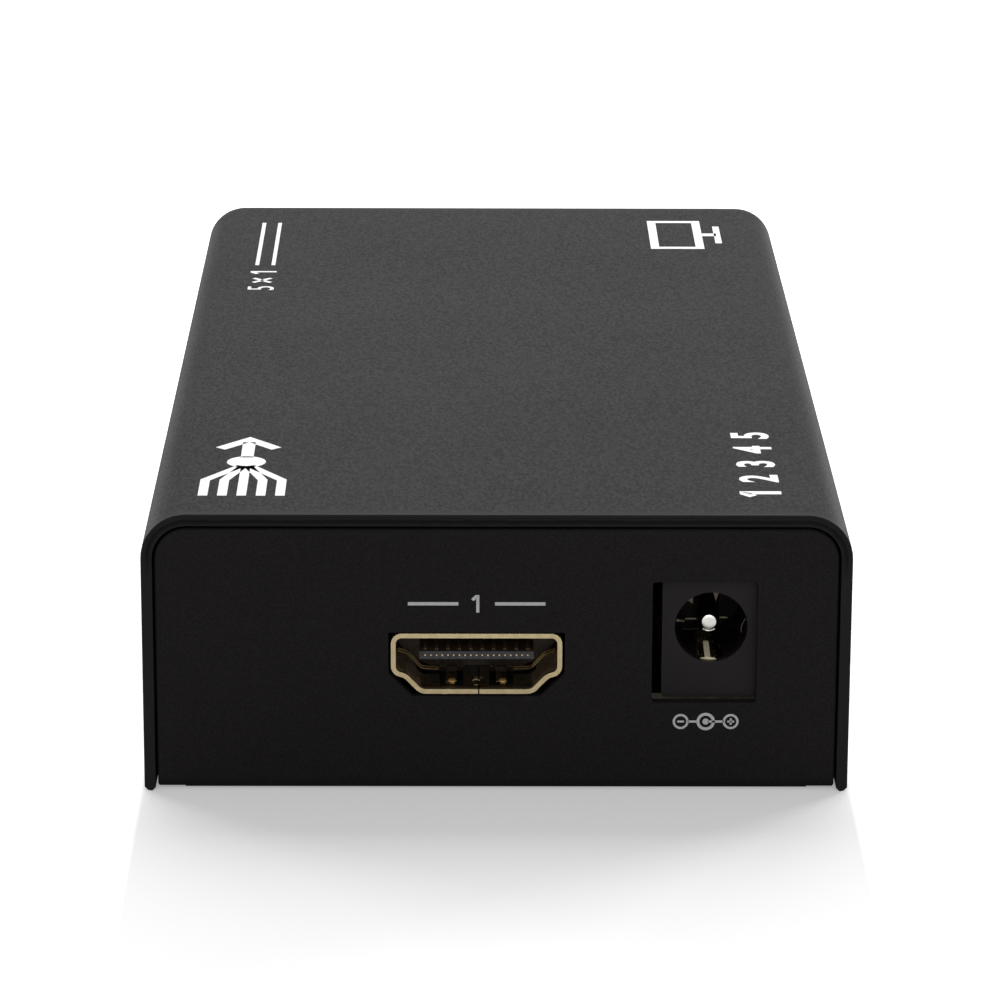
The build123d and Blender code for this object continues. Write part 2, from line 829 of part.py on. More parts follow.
# Select switch and button. The button's flange keeps it behind the wall.
press_travel = 0.3
switch_width = 6.0
switch_top = 3.0
switch_thickness = 3.5
switch_front_gap = 5.5
switch_corner = 0.4
plunger_radius = 1.75
plunger_gap = 0.1
plunger_hidden = 1.6
plunger_reach = 2.5
switch_leg_spread = 4.5
switch_leg_width = 0.6
button_radius = 3.0
button_proud = 0.8
button_edge = 0.5
button_flange = 4.2
button_flange_sheet = 0.9
button_flange_gap = 0.4
button_neck = 2.6
switch_face_x = wall_inside - switch_front_gap
plunger_tip_x = switch_face_x + plunger_reach
flange_front_x = wall_inside - button_flange_gap
flange_back_x = flange_front_x - button_flange_sheet
neck_end_x = plunger_tip_x - 2 * press_travel

with BuildPart() as select_switch:
    with BuildSketch(right_plane(button_y, front_axis, switch_face_x)) as switch_face:
        with Locations((0, -front_lift)):
            Rectangle(
                switch_width,
                front_lift + switch_top,
                align=(Align.CENTER, Align.MIN),
            )
        fillet(switch_face.vertices().group_by(Axis.Y)[-1], switch_corner)
    extrude(amount=-switch_thickness)
    with BuildSketch(right_plane(button_y, front_axis, switch_face_x)) as plunger_bore:
        Circle(plunger_radius + plunger_gap)
    extrude(amount=-(plunger_hidden + 2 * press_travel), mode=Mode.SUBTRACT)
keep(select_switch, "select_switch")

switch_leg_places = [
    (
        switch_face_x - switch_thickness / 2 + across * switch_thickness / 4,
        button_y + along * switch_leg_spread / 2,
    )
    for across in (-1, 1)
    for along in (-1, 1)
]
with BuildPart() as select_switch_legs:
    with BuildSketch(Plane.XY.offset(lead_end)) as legs:
        with Locations(*switch_leg_places):
            Rectangle(switch_leg_width, switch_leg_width)
    extrude(amount=board_top - lead_end)
keep(select_switch_legs, "select_switch_legs")

with BuildPart() as select_plunger:
    with BuildSketch(
        right_plane(button_y, front_axis, switch_face_x - plunger_hidden)
    ) as plunger_round:
        Circle(plunger_radius)
    extrude(amount=plunger_hidden + plunger_reach)
keep(select_plunger, "select_plunger")

with BuildPart() as select_button:
    with BuildSketch(right_plane(button_y, front_axis, flange_back_x)) as crown:
        Circle(button_radius)
    extrude(amount=case_width / 2 + button_proud - flange_back_x)
    chamfer(select_button.edges().group_by(Axis.X)[-1], button_edge)
    with BuildSketch(right_plane(button_y, front_axis, flange_back_x)) as button_stop:
        Circle(button_flange)
    extrude(amount=button_flange_sheet)
    with BuildSketch(right_plane(button_y, front_axis, neck_end_x)) as neck:
        Circle(button_neck)
    extrude(amount=flange_back_x - neck_end_x)
    with BuildSketch(right_plane(button_y, front_axis, plunger_tip_x + fit_gap)) as plunger_seat:
        Circle(plunger_radius + fit_gap)
    extrude(amount=neck_end_x - plunger_tip_x - overrun, mode=Mode.SUBTRACT)
keep(select_button, "select_button")

# Board: outline, screw holes, and a slot or hole for each leg and lead.
board_corner = 1.0
slot_long = leg_width + 2 * board_gap
slot_short = shell_sheet + 2 * board_gap
leg_across = rim_half - rim_flare - shell_sheet / 2

with BuildPart() as board:
    with BuildSketch(Plane.XY.offset(board_bottom)) as board_face:
        RectangleRounded(2 * board_half_width, 2 * board_half_length, board_corner)
        with Locations(*pillar_places):
            Circle(board_screw_hole, mode=Mode.SUBTRACT)
        for socket in side_sockets:
            rim = socket_rows[socket].origin
            for side in (-1, 1):
                for depth in leg_depths:
                    with Locations((rim.X + depth, rim.Y + side * leg_across)):
                        Rectangle(slot_long, slot_short, mode=Mode.SUBTRACT)
        rim = socket_rows["input_1"].origin
        for side in (-1, 1):
            for depth in leg_depths:
                with Locations((rim.X + side * leg_across, rim.Y + depth)):
                    Rectangle(slot_short, slot_long, mode=Mode.SUBTRACT)
        jack_origin = jack_plane.origin
        plate_slot = jack_plate + 2 * board_gap
        with Locations((jack_origin.X, jack_origin.Y + jack_body_depth + jack_plate / 2)):
            Rectangle(jack_leg_width + 2 * board_gap, plate_slot, mode=Mode.SUBTRACT)
        with Locations((jack_origin.X, jack_origin.Y + spring_back[0] - spring_sheet / 2)):
            Rectangle(spring_width + 2 * board_gap, plate_slot, mode=Mode.SUBTRACT)
        with Locations((jack_origin.X + tab_outside - tab_sheet / 2, jack_origin.Y + tab_depth)):
            Rectangle(plate_slot, tab_width + 2 * board_gap, mode=Mode.SUBTRACT)
        lamp_holes = [(lamp_lead_x + lead_width / 2, along) for along in lamp_lead_places]
        with Locations(*lamp_holes, *sensor_lead_places):
            Rectangle(lead_width + 2 * board_gap, lead_width + 2 * board_gap, mode=Mode.SUBTRACT)
        with Locations(*switch_leg_places):
            Rectangle(
                switch_leg_width + 2 * board_gap,
                switch_leg_width + 2 * board_gap,
                mode=Mode.SUBTRACT,
            )
    extrude(amount=board_sheet)
keep(board, "board")


# Surge arrays: one behind each socket's contact tails. The other parts have the band beside them.
array_width = 1.6
array_length = 2.9
array_height = 1.0
array_gap = 1.8
array_depth = shell_depth + contact_tail + array_gap + array_width / 2
band_left = array_depth + array_width / 2 - side_rim_x
band_right = switch_face_x - switch_thickness


def board_place(shares):
    """A place on the board from its shares of the free band's width and of the board's half length."""
    across = band_left + shares[0] * (band_right - band_left)
    return (across, shares[1] * board_half_length)


with BuildPart() as surge_arrays:
    with BuildSketch(Plane.XY.offset(board_top)) as array_faces:
        for socket, plane in socket_rows.items():
            if socket == "input_1":
                with Locations((plane.origin.X, plane.origin.Y + array_depth)):
                    Rectangle(array_length, array_width)
            else:
                with Locations((plane.origin.X + array_depth, plane.origin.Y)):
                    Rectangle(array_width, array_length)
    extrude(amount=array_height)
keep(surge_arrays, "surge_arrays")


# Gull-wing leads: foot on the board, knee, shoulder into the chip's side.
quarter_turn = 90
chip_lift = 0.1
gull_sheet = 0.15


def gull_leads(centre, half_width, rise, reach, lead, places, axis_turn):
    """Leads along both sides of a chip, at the given places; the turn is 0 for left and right sides."""
    leads = []
    for side in (0, 2 * quarter_turn):
        turn = Location((centre[0], centre[1], board_top), (0, 0, axis_turn + side))
        for place in places:
            with BuildPart() as gull:
                with BuildSketch(Plane.XZ.offset(-place)) as profile:
                    with BuildLine():
                        Polyline(
                            (half_width, rise),
                            (half_width + reach / 2 + gull_sheet / 2, rise),
                            (half_width + reach / 2 + gull_sheet / 2, gull_sheet),
                            (half_width + reach, gull_sheet),
                            (half_width + reach, 0),
                            (half_width + reach / 2 - gull_sheet / 2, 0),
                            (half_width + reach / 2 - gull_sheet / 2, rise - gull_sheet),
                            (half_width, rise - gull_sheet),
                            close=True,
                        )
                    make_face()
                extrude(amount=lead / 2, both=True)
            leads.append(gull.part.moved(turn))
    return leads


def chip_body(centre, width, length, height, draft):
    """A moulded package, drawn in a little towards its top, just off the board."""
    with BuildPart() as body:
        with BuildSketch(Plane.XY.offset(board_top + chip_lift)) as foot:
            with Locations(centre):
                Rectangle(width, length)
        extrude(amount=height)
        chamfer(body.faces().sort_by(Axis.Z)[-1].edges(), draft)
    return body


# Switching chip: a square package with leads on its four sides.
switch_chip_share = (0.25, 0.0)
switch_chip_side = 10.0
switch_chip_height = 1.4
switch_chip_reach = 1.0
switch_chip_spacing = 0.75
switch_chip_lead = 0.3
switch_chip_per_side = 12
chip_draft = 0.2
switch_chip_centre = board_place(switch_chip_share)
switch_chip_places = [
    (place - (switch_chip_per_side - 1) / 2) * switch_chip_spacing
    for place in range(switch_chip_per_side)
]
switch_chip = chip_body(
    switch_chip_centre, switch_chip_side, switch_chip_side, switch_chip_height, chip_draft
)
keep(switch_chip, "switch_chip")

with BuildPart() as switch_chip_leads:
    for axis_turn in (0, quarter_turn):
        add(
            gull_leads(
                switch_chip_centre,
                switch_chip_side / 2,
                chip_lift + switch_chip_height / 2,
                switch_chip_reach,
                switch_chip_lead,
                switch_chip_places,
                axis_turn,
            )
        )
keep(switch_chip_leads, "switch_chip_leads")

# Controller chip: a narrow package with leads on its two long sides.
controller_share = (0.69, 0.34)
controller_width = 3.9
controller_length = 9.9
controller_height = 1.5
controller_reach = 1.05
controller_spacing = 1.27
controller_lead = 0.42
controller_per_side = 8
controller_centre = board_place(controller_share)
controller_places = [
    (place - (controller_per_side - 1) / 2) * controller_spacing
    for place in range(controller_per_side)
]
controller_chip = chip_body(
    controller_centre, controller_width, controller_length, controller_height, chip_draft
)
keep(controller_chip, "controller_chip")

with BuildPart() as controller_leads:
    add(
        gull_leads(
            controller_centre,
            controller_width / 2,
            chip_lift + controller_height / 2,
            controller_reach,
            controller_lead,
            controller_places,
            0,
        )
    )
keep(controller_leads, "controller_leads")

# Voltage regulator: three leads on one side, the wide cooling tab on the other.
regulator_share = (0.8, -0.6)
regulator_width = 6.5
regulator_length = 3.5
regulator_height = 1.6
regulator_reach = 1.6
regulator_spacing = 2.3
regulator_lead = 0.7
regulator_tab = 3.0
regulator_centre = board_place(regulator_share)
regulator = chip_body(
    regulator_centre, regulator_width, regulator_length, regulator_height, chip_draft
)
keep(regulator, "regulator")

with BuildPart() as regulator_leads:
    regulator_rise = chip_lift + regulator_height / 2
    three = gull_leads(
        regulator_centre,
        regulator_length / 2,
        regulator_rise,
        regulator_reach,
        regulator_lead,
        [-regulator_spacing, 0, regulator_spacing],
        quarter_turn,
    )
    tab = gull_leads(
        regulator_centre,
        regulator_length / 2,
        regulator_rise,
        regulator_reach,
        regulator_tab,
        [0],
        quarter_turn,
    )
    add([lead for lead in three if lead.center().Y < regulator_centre[1]])
    add([lead for lead in tab if lead.center().Y > regulator_centre[1]])
keep(regulator_leads, "regulator_leads")

# Power inductor: a square ferrite block with chamfered corners, beside the regulator.
inductor_gap = 1.6
inductor_side = 7.3
inductor_height = 3.4
inductor_corner = 1.4
inductor_edge = 0.3
inductor_x = regulator_centre[0] - regulator_width / 2 - inductor_gap - inductor_side / 2

with BuildPart() as power_inductor:
    with BuildSketch(Plane.XY.offset(board_top)) as inductor_foot:
        with Locations((inductor_x, regulator_centre[1])):
            Rectangle(inductor_side, inductor_side)
        chamfer(inductor_foot.vertices(), inductor_corner)
    extrude(amount=inductor_height)
    chamfer(power_inductor.faces().sort_by(Axis.Z)[-1].edges(), inductor_edge)
keep(power_inductor, "power_inductor")

# Electrolytic capacitors: a drawn can with its groove, on a square base with two cut corners.
# One stands beside the power inlet, the other beside the surge arrays.
capacitor_radius = 3.15
capacitor_height = 5.4
capacitor_base = 6.6
capacitor_base_sheet = 0.5
capacitor_groove = 0.3
capacitor_groove_rise = 1.0
capacitor_edge = 0.4
capacitor_base_corner = 1.4
input_capacitor_gap = 1.2
input_capacitor_share = -0.75
output_capacitor_gap = 1.0
output_capacitor_share = -0.68
capacitor_places = {
    "input_capacitor": (
        jack_x - jack_width / 2 - input_capacitor_gap - capacitor_base / 2,
        input_capacitor_share * board_half_length,
    ),
    "output_capacitor": (
        band_left + output_capacitor_gap + capacitor_base / 2,
        output_capacitor_share * board_half_length,
    ),
}

for name, centre in capacitor_places.items():
    with BuildPart() as can:
        with BuildSketch(Plane.XZ) as can_section:
            with BuildLine():
                Polyline(
                    (0, 0),
                    (capacitor_radius, 0),
                    (capacitor_radius, capacitor_groove_rise - capacitor_groove),
                    (capacitor_radius - capacitor_groove, capacitor_groove_rise),
                    (capacitor_radius, capacitor_groove_rise + capacitor_groove),
                    (capacitor_radius, capacitor_height - capacitor_edge),
                    (capacitor_radius - capacitor_edge, capacitor_height),
                    (0, capacitor_height),
                    close=True,
                )
            make_face()
        revolve(axis=Axis.Z)
    with BuildPart() as placed:
        add(can.part.moved(Location((centre[0], centre[1], board_top + capacitor_base_sheet))))
    keep(placed, name)

with BuildPart() as capacitor_bases:
    for centre in capacitor_places.values():
        with BuildSketch(Plane.XY.offset(board_top)) as base_face:
            with Locations(centre):
                Rectangle(capacitor_base, capacitor_base)
            chamfer(base_face.vertices().group_by(Axis.X)[-1], capacitor_base_corner)
        extrude(amount=capacitor_base_sheet)
keep(capacitor_bases, "capacitor_bases")

# Crystal: a low oval can on its flange, beside the controller's leads.
crystal_gap = 0.6
crystal_length = 11.0
crystal_width = 4.6
crystal_height = 3.4
crystal_flange = 0.35
crystal_flange_sheet = 0.4
crystal_edge = 0.5
crystal_aside = controller_width / 2 + controller_reach + crystal_gap + crystal_width / 2
crystal_place = Location(
    (controller_centre[0] - crystal_aside, controller_centre[1], 0), (0, 0, quarter_turn)
)

with BuildPart() as crystal:
    with BuildSketch(Plane.XY.offset(board_top)) as crystal_flange_face:
        with Locations(crystal_place):
            SlotOverall(crystal_length, crystal_width)
    extrude(amount=crystal_flange_sheet)
    with BuildSketch(Plane.XY.offset(board_top)) as crystal_can:
        with Locations(crystal_place):
            SlotOverall(crystal_length - 2 * crystal_flange, crystal_width - 2 * crystal_flange)
    extrude(amount=crystal_height)
    chamfer(crystal.edges().group_by(Axis.Z)[-1], crystal_edge)
keep(crystal, "crystal")

# Small chip parts: a row on each side of the switching chip, and two rows by the controller.
chip_part_length = 1.6
chip_part_width = 0.8
chip_part_height = 0.45
chip_part_spacing = 2.4
chip_part_gap = 3.2
chip_part_count = 5

with BuildPart() as chip_parts:
    with BuildSketch(Plane.XY.offset(board_top)) as part_faces:
        for centre, half in (
            (switch_chip_centre, switch_chip_side / 2),
            (controller_centre, controller_length / 2),
        ):
            for side in (-1, 1):
                for place in range(chip_part_count):
                    across = (place - (chip_part_count - 1) / 2) * chip_part_spacing
                    along = side * (half + chip_part_gap)
                    with Locations((centre[0] + across, centre[1] + along)):
                        Rectangle(chip_part_width, chip_part_length)
    extrude(amount=chip_part_height)
keep(chip_parts, "chip_parts")
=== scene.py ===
import math

import bmesh
import bpy
import numpy as np
from mathutils import Matrix, Vector


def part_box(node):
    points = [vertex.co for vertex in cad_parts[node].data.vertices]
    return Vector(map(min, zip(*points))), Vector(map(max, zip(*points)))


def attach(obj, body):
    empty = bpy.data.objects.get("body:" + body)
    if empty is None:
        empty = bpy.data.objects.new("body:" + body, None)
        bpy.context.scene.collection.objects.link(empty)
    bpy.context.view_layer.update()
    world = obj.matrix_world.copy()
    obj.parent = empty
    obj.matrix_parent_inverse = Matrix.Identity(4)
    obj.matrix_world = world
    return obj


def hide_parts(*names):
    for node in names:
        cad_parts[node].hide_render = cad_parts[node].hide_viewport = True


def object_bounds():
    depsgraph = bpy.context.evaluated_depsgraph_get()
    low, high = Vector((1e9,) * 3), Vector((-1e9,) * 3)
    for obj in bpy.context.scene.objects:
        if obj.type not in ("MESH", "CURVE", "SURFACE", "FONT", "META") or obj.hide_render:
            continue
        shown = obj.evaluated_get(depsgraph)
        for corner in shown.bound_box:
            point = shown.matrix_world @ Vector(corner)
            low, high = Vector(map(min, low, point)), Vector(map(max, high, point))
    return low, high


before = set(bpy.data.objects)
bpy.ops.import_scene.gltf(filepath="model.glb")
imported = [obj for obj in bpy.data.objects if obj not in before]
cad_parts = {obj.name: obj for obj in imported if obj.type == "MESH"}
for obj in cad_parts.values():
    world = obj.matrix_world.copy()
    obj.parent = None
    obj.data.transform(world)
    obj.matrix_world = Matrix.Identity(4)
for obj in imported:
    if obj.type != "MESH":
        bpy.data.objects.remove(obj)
cad_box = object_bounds()

# Camera: it stands in front of the near end and looks down on it by 17 degrees.
# The lens is long, so the two long sides draw together only slowly.
camera_place = (-0.002985, -0.445055, 0.144047)
camera_down, camera_aside, camera_roll = 0.29407, 0.00834, 0.00407
camera_lens, camera_film = 168.197, 36.0

ahead = np.array([
    math.sin(camera_aside) * math.cos(camera_down),
    math.cos(camera_aside) * math.cos(camera_down),
    -math.sin(camera_down),
])
level = np.array([math.cos(camera_aside), -math.sin(camera_aside), 0.0])
upright = np.cross(level, ahead)
rolled_right = math.cos(camera_roll) * level + math.sin(camera_roll) * upright
rolled_up = math.cos(camera_roll) * upright - math.sin(camera_roll) * level
camera_turn = np.eye(4)
camera_turn[:3, 0], camera_turn[:3, 1], camera_turn[:3, 2] = rolled_right, rolled_up, -ahead
camera_turn[:3, 3] = camera_place
lens = bpy.data.cameras.new("end_view")
lens.lens, lens.sensor_width, lens.clip_start = camera_lens, camera_film, 0.01
camera = bpy.data.objects.new("end_view", lens)
camera.matrix_world = Matrix(camera_turn.tolist())
bpy.context.scene.collection.objects.link(camera)
bpy.context.scene.camera = camera
bpy.context.scene.view_settings.view_transform = "Standard"


# Studio: a white surface, a soft lamp above and behind the box, a weak one in front and two low ones
# behind its sides. What the camera and the glossy coats see of the room is plain white. For the camera
# the surface glows, more beside the box: painted light that hides its shadow there but not in front.
def put(tree, kind, sockets=None, **settings):
    """Adds a shader node. Each named socket is linked to the given output, or set to the given value."""
    node = tree.nodes.new("ShaderNode" + kind)
    for key, value in settings.items():
        setattr(node, key, value)
    for key, value in (sockets or {}).items():
        if isinstance(value, bpy.types.NodeSocket):
            tree.links.new(value, node.inputs[key])
        else:
            node.inputs[key].default_value = value
    return node


def worked(tree, operation, one, two=0.0):
    """The result of one sum on one or two values."""
    return put(tree, "Math", {0: one, 1: two}, operation=operation).outputs[0]


def ranged(tree, value, low, high, to_low=0.0, to_high=1.0, way="LINEAR"):
    """A value carried from one range to another and held inside it."""
    sockets = {0: value, 1: low, 2: high, 3: to_low, 4: to_high}
    return put(tree, "MapRange", sockets, interpolation_type=way).outputs[0]


def bare_material(name):
    """A new material with nothing in its node tree, and the tree."""
    material = bpy.data.materials.new(name)
    material.use_nodes = True
    material.node_tree.nodes.clear()
    return material, material.node_tree


def link_piece(name, data):
    """A new object for a mesh, a lamp or figures, at the origin."""
    piece = bpy.data.objects.new(name, data)
    bpy.context.scene.collection.objects.link(piece)
    return piece


room_light = 0.28
floor_reach = 1.5
floor_white = (0.8, 0.8, 0.8, 1.0)
floor_lift, side_lift = 0.3, 0.75
box_side, clear_side = 0.0309, 0.0317
lamps = {
    "back_lamp": ((0.0, 0.72, 0.77), (0.0, 0.0, 0.0), 1.0, 10.0),
    "front_lamp": ((0.0, -0.95, 0.5), (0.0, 0.0, 0.01), 0.6, 2.6),
    "left_lamp": ((-0.72, 0.68, 0.2), (0.0, 0.0, 0.01), 0.35, 5.5),
    "right_lamp": ((0.72, 0.68, 0.2), (0.0, 0.0, 0.01), 0.35, 8.0),
}

world = bpy.data.worlds.new("room")
bpy.context.scene.world = world
world.use_nodes = True
room = world.node_tree
room.nodes.clear()
ray = put(room, "LightPath").outputs
seen = worked(room, "MAXIMUM", ray["Is Camera Ray"], ray["Is Glossy Ray"])
seen = worked(room, "MAXIMUM", seen, ray["Is Transmission Ray"])
dim = put(room, "Background", {"Color": (1, 1, 1, 1), "Strength": room_light})
white = put(room, "Background", {"Color": (1, 1, 1, 1), "Strength": 1.0})
both = put(room, "MixShader", {0: seen, 1: dim.outputs[0], 2: white.outputs[0]})
put(room, "OutputWorld", {"Surface": both.outputs[0]})

for name, (place, target, size, power) in lamps.items():
    light = bpy.data.lights.new(name, "AREA")
    light.shape, light.size, light.energy = "SQUARE", size, power
    away = (Vector(place) - Vector(target)).normalized()
    turn = away.to_track_quat("Z", "Y").to_matrix().to_4x4()
    link_piece(name, light).matrix_world = Matrix.Translation(place) @ turn

surface, tree = bare_material("white_surface")
sheet = put(tree, "BsdfDiffuse", {"Color": floor_white})
place = put(tree, "SeparateXYZ", {0: put(tree, "TexCoord").outputs["Object"]}).outputs
aside = worked(tree, "ABSOLUTE", place["X"])
# Painted light: the camera-only glow rises from floor_lift to side_lift beside the box, washing out its
# shadow there.
lift = ranged(tree, aside, box_side, clear_side, floor_lift, side_lift, "SMOOTHSTEP")
lift = worked(tree, "MULTIPLY", put(tree, "LightPath").outputs["Is Camera Ray"], lift)
glow = put(tree, "Emission", {"Color": (1, 1, 1, 1), "Strength": lift})
lit = put(tree, "AddShader", {0: sheet.outputs[0], 1: glow.outputs[0]})
put(tree, "OutputMaterial", {"Surface": lit.outputs[0]})
floor_mesh = bpy.data.meshes.new("floor")
floor_mesh.from_pydata(
    [(x * floor_reach, y * floor_reach, 0.0) for x, y in ((-1, -1), (1, -1), (1, 1), (-1, 1))],
    [], [(0, 1, 2, 3)],
)
floor_mesh.materials.append(surface)
link_piece("floor", floor_mesh)


# Cover: 1 mm sheet steel bent over both long edges, with a fine-grained black powder coat.
# The coat's grain shows as a light speckle on the top; the cut ends are a little smoother.
def shader_group(name, inputs, outputs=("Color", "Roughness", "Height")):
    """An empty node group with its sockets. Gives the group, what they hand in and its end node."""
    group = bpy.data.node_groups.new(name, "ShaderNodeTree")
    for label, value in inputs.items():
        kind = "NodeSocketColor" if isinstance(value, tuple) else "NodeSocketFloat"
        group.interface.new_socket(label, in_out="INPUT", socket_type=kind).default_value = value
    for label in outputs:
        kind = "NodeSocketColor" if label == "Color" else "NodeSocketFloat"
        group.interface.new_socket(label, in_out="OUTPUT", socket_type=kind)
    return group, group.nodes.new("NodeGroupInput").outputs, group.nodes.new("NodeGroupOutput")


def hand_out(group, end, *results):
    """Links the results to the sockets of a group's end node, in their order."""
    for value, socket in zip(results, end.inputs):
        group.links.new(value, socket)


def mixed(tree, share, low, high):
    """A colour between low and high."""
    return put(tree, "Mix", {0: share, 6: low, 7: high}, data_type="RGBA").outputs[2]


def toned(tree, colour, share):
    """A colour times a share."""
    return put(tree, "VectorMath", {0: colour, 3: share}, operation="SCALE").outputs[0]


def noise(tree, where, scale, detail=2.0, rough=0.5):
    """A noise between 0 and 1, of so many waves per metre."""
    sockets = {"Vector": where, "Scale": scale, "Detail": detail, "Roughness": rough}
    return put(tree, "TexNoise", sockets).outputs["Fac"]


# Powder coat: grains under a quarter of a millimetre, each catching a little more or less light.
powder, given, out = shader_group("powder_coat", {
    "Color": (0.02, 0.02, 0.02, 1.0), "Grain Color": (0.06, 0.06, 0.06, 1.0),
    "End Highlight Color": (0.04, 0.04, 0.04, 1.0), "End Highlight From": 1.0, "End Highlight To": 2.0,
    "Grains per m": 5000.0, "Roughness": 0.5,
})
where = put(powder, "TexCoord").outputs["Object"]
drawn_out = put(powder, "Mapping", {"Vector": where, "Scale": (1.0, 0.5, 1.0)}).outputs[0]
grain = noise(powder, drawn_out, given["Grains per m"], rough=0.6)
tone = mixed(powder, ranged(powder, grain, 0.38, 0.62), given["Color"], given["Grain Color"])
# Painted highlight: near both ends (|y| between the given bounds) the tone is drawn towards a lighter
# colour.
along = worked(powder, "ABSOLUTE", put(powder, "SeparateXYZ", {0: where}).outputs["Y"])
tone = mixed(powder, ranged(powder, along, given["End Highlight From"], given["End Highlight To"]), tone, given["End Highlight Color"])
shade = ranged(powder, noise(powder, where, 45.0, 3.0), 0.3, 0.7, 0.97, 1.03)
rough = worked(powder, "MULTIPLY", given["Roughness"], shade)
hand_out(powder, out, toned(powder, tone, shade), rough, grain)

# Sheared end: the shears leave a pale burnished line under the skin and a dark torn one below it.
# Below the bends the two legs are even in tone.
leg_from, leg_full, leg_tone = 0.0036, 0.006, 0.96
line_tones = {0.0: 0.6, 0.22: 0.7, 0.32: 1.0, 0.42: 0.66, 0.54: 0.38, 0.7: 0.56, 0.87: 0.84, 1.0: 1.0}
sheared, given, out = shader_group("sheared_end", {
    "Color": (0.01, 0.01, 0.01, 1.0), "Skin X": 0.031, "Skin Z": 0.0254, "Bend": 0.004, "Roughness": 0.5,
})
where = put(sheared, "TexCoord").outputs["Object"]
place = put(sheared, "SeparateXYZ", {0: where}).outputs
from_side = worked(sheared, "SUBTRACT", given["Skin X"], worked(sheared, "ABSOLUTE", place["X"]))
from_top = worked(sheared, "SUBTRACT", given["Skin Z"], place["Z"])
in_bend = [
    worked(sheared, "MAXIMUM", worked(sheared, "SUBTRACT", given["Bend"], value), 0.0)
    for value in (from_side, from_top)
]
to_centre = put(sheared, "CombineXYZ", {0: in_bend[0], 1: in_bend[1]}).outputs[0]
to_centre = put(sheared, "VectorMath", {0: to_centre}, operation="LENGTH").outputs["Value"]
torn = noise(sheared, where, 900.0, 3.0)
under = worked(sheared, "SUBTRACT", given["Bend"], to_centre)
under = worked(sheared, "ADD", under, ranged(sheared, torn, 0.3, 0.7, -0.00006, 0.00006))
line = put(sheared, "ValToRGB", {0: ranged(sheared, under, 0.0, 0.001)})
steps = line.color_ramp.elements
# A new ramp has its two ends only.
for at, share in line_tones.items():
    step = steps.new(at) if 0.0 < at < 1.0 else steps[-int(at)]
    step.color = (share, share, share, 1.0)
on_leg = ranged(sheared, from_top, leg_from, leg_full)
share = mixed(sheared, on_leg, line.outputs["Color"], (leg_tone, leg_tone, leg_tone, 1.0))
hand_out(sheared, out, toned(sheared, given["Color"], share), given["Roughness"], torn)


def finish(name, group, values, bump, gloss=0.5, metal=0.0, coat=0.0):
    """A material: a group's colour, roughness and height on a Principled shader, bump in metres."""
    material, tree = bare_material(name)
    look = put(tree, "Group", values, node_tree=group)
    relief = put(tree, "Bump", {"Height": look.outputs["Height"], "Strength": 1.0, "Distance": bump})
    shader = put(tree, "BsdfPrincipled", {
        "Base Color": look.outputs["Color"],
        "Roughness": look.outputs["Roughness"],
        "Normal": relief.outputs["Normal"],
        "Metallic": metal,
        "Specular IOR Level": gloss,
        "Coat Weight": coat,
        "Coat Roughness": 0.1,
    })
    put(tree, "OutputMaterial", {"Surface": shader.outputs[0]})
    return material


def mesh_points(mesh):
    """Where a mesh's vertices are, one in each row."""
    places = np.zeros(len(mesh.vertices) * 3)
    mesh.vertices.foreach_get("co", places)
    return places.reshape(-1, 3)


merge_within, flat_within, sharp_from, round_from = 2e-6, 0.4, 28, 35


def finished_copy(name, node, edge, depth=None, edge_slot=-1):
    """A CAD node's mesh with its doubles merged, its flat faces joined, and its edges rounded.
    depth(points), where given, is kept on the mesh for the shader, in metres."""
    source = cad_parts[node].data
    mesh = bpy.data.meshes.new(name)
    mesh.from_pydata(mesh_points(source).tolist(), [], [tuple(face.vertices) for face in source.polygons])
    work = bmesh.new()
    work.from_mesh(mesh)
    bmesh.ops.remove_doubles(work, verts=work.verts, dist=merge_within)
    bmesh.ops.dissolve_limit(
        work, angle_limit=math.radians(flat_within), verts=work.verts, edges=work.edges,
    )
    work.to_mesh(mesh)
    work.free()
    if depth is not None:
        kept = mesh.attributes.new("depth", "FLOAT", "POINT")
        kept.data.foreach_set("value", depth(mesh_points(mesh)).astype(np.float32))
    mesh.shade_smooth()
    mesh.set_sharp_from_angle(angle=math.radians(sharp_from))
    piece = link_piece(name, mesh)
    if edge:
        rounding = piece.modifiers.new("edges", "BEVEL")
        rounding.width, rounding.segments, rounding.material = edge, 3, edge_slot
        rounding.limit_method, rounding.angle_limit = "ANGLE", math.radians(round_from)
        rounding.miter_outer = "MITER_ARC"
    weights = piece.modifiers.new("flats", "WEIGHTED_NORMAL")
    weights.keep_sharp, weights.weight = True, 100
    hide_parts(node)
    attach(piece, "box")
    return piece


def coat(piece, *materials, rule=None):
    """A piece takes its finishes. rule(middles, normals) tells each face which of them it wears."""
    for material in materials:
        piece.data.materials.append(material)
    if rule is not None:
        faces = piece.data.polygons
        middles, normals = np.zeros(len(faces) * 3), np.zeros(len(faces) * 3)
        faces.foreach_get("center", middles)
        faces.foreach_get("normal", normals)
        worn = rule(middles.reshape(-1, 3), normals.reshape(-1, 3))
        faces.foreach_set("material_index", worn.astype(np.int32))


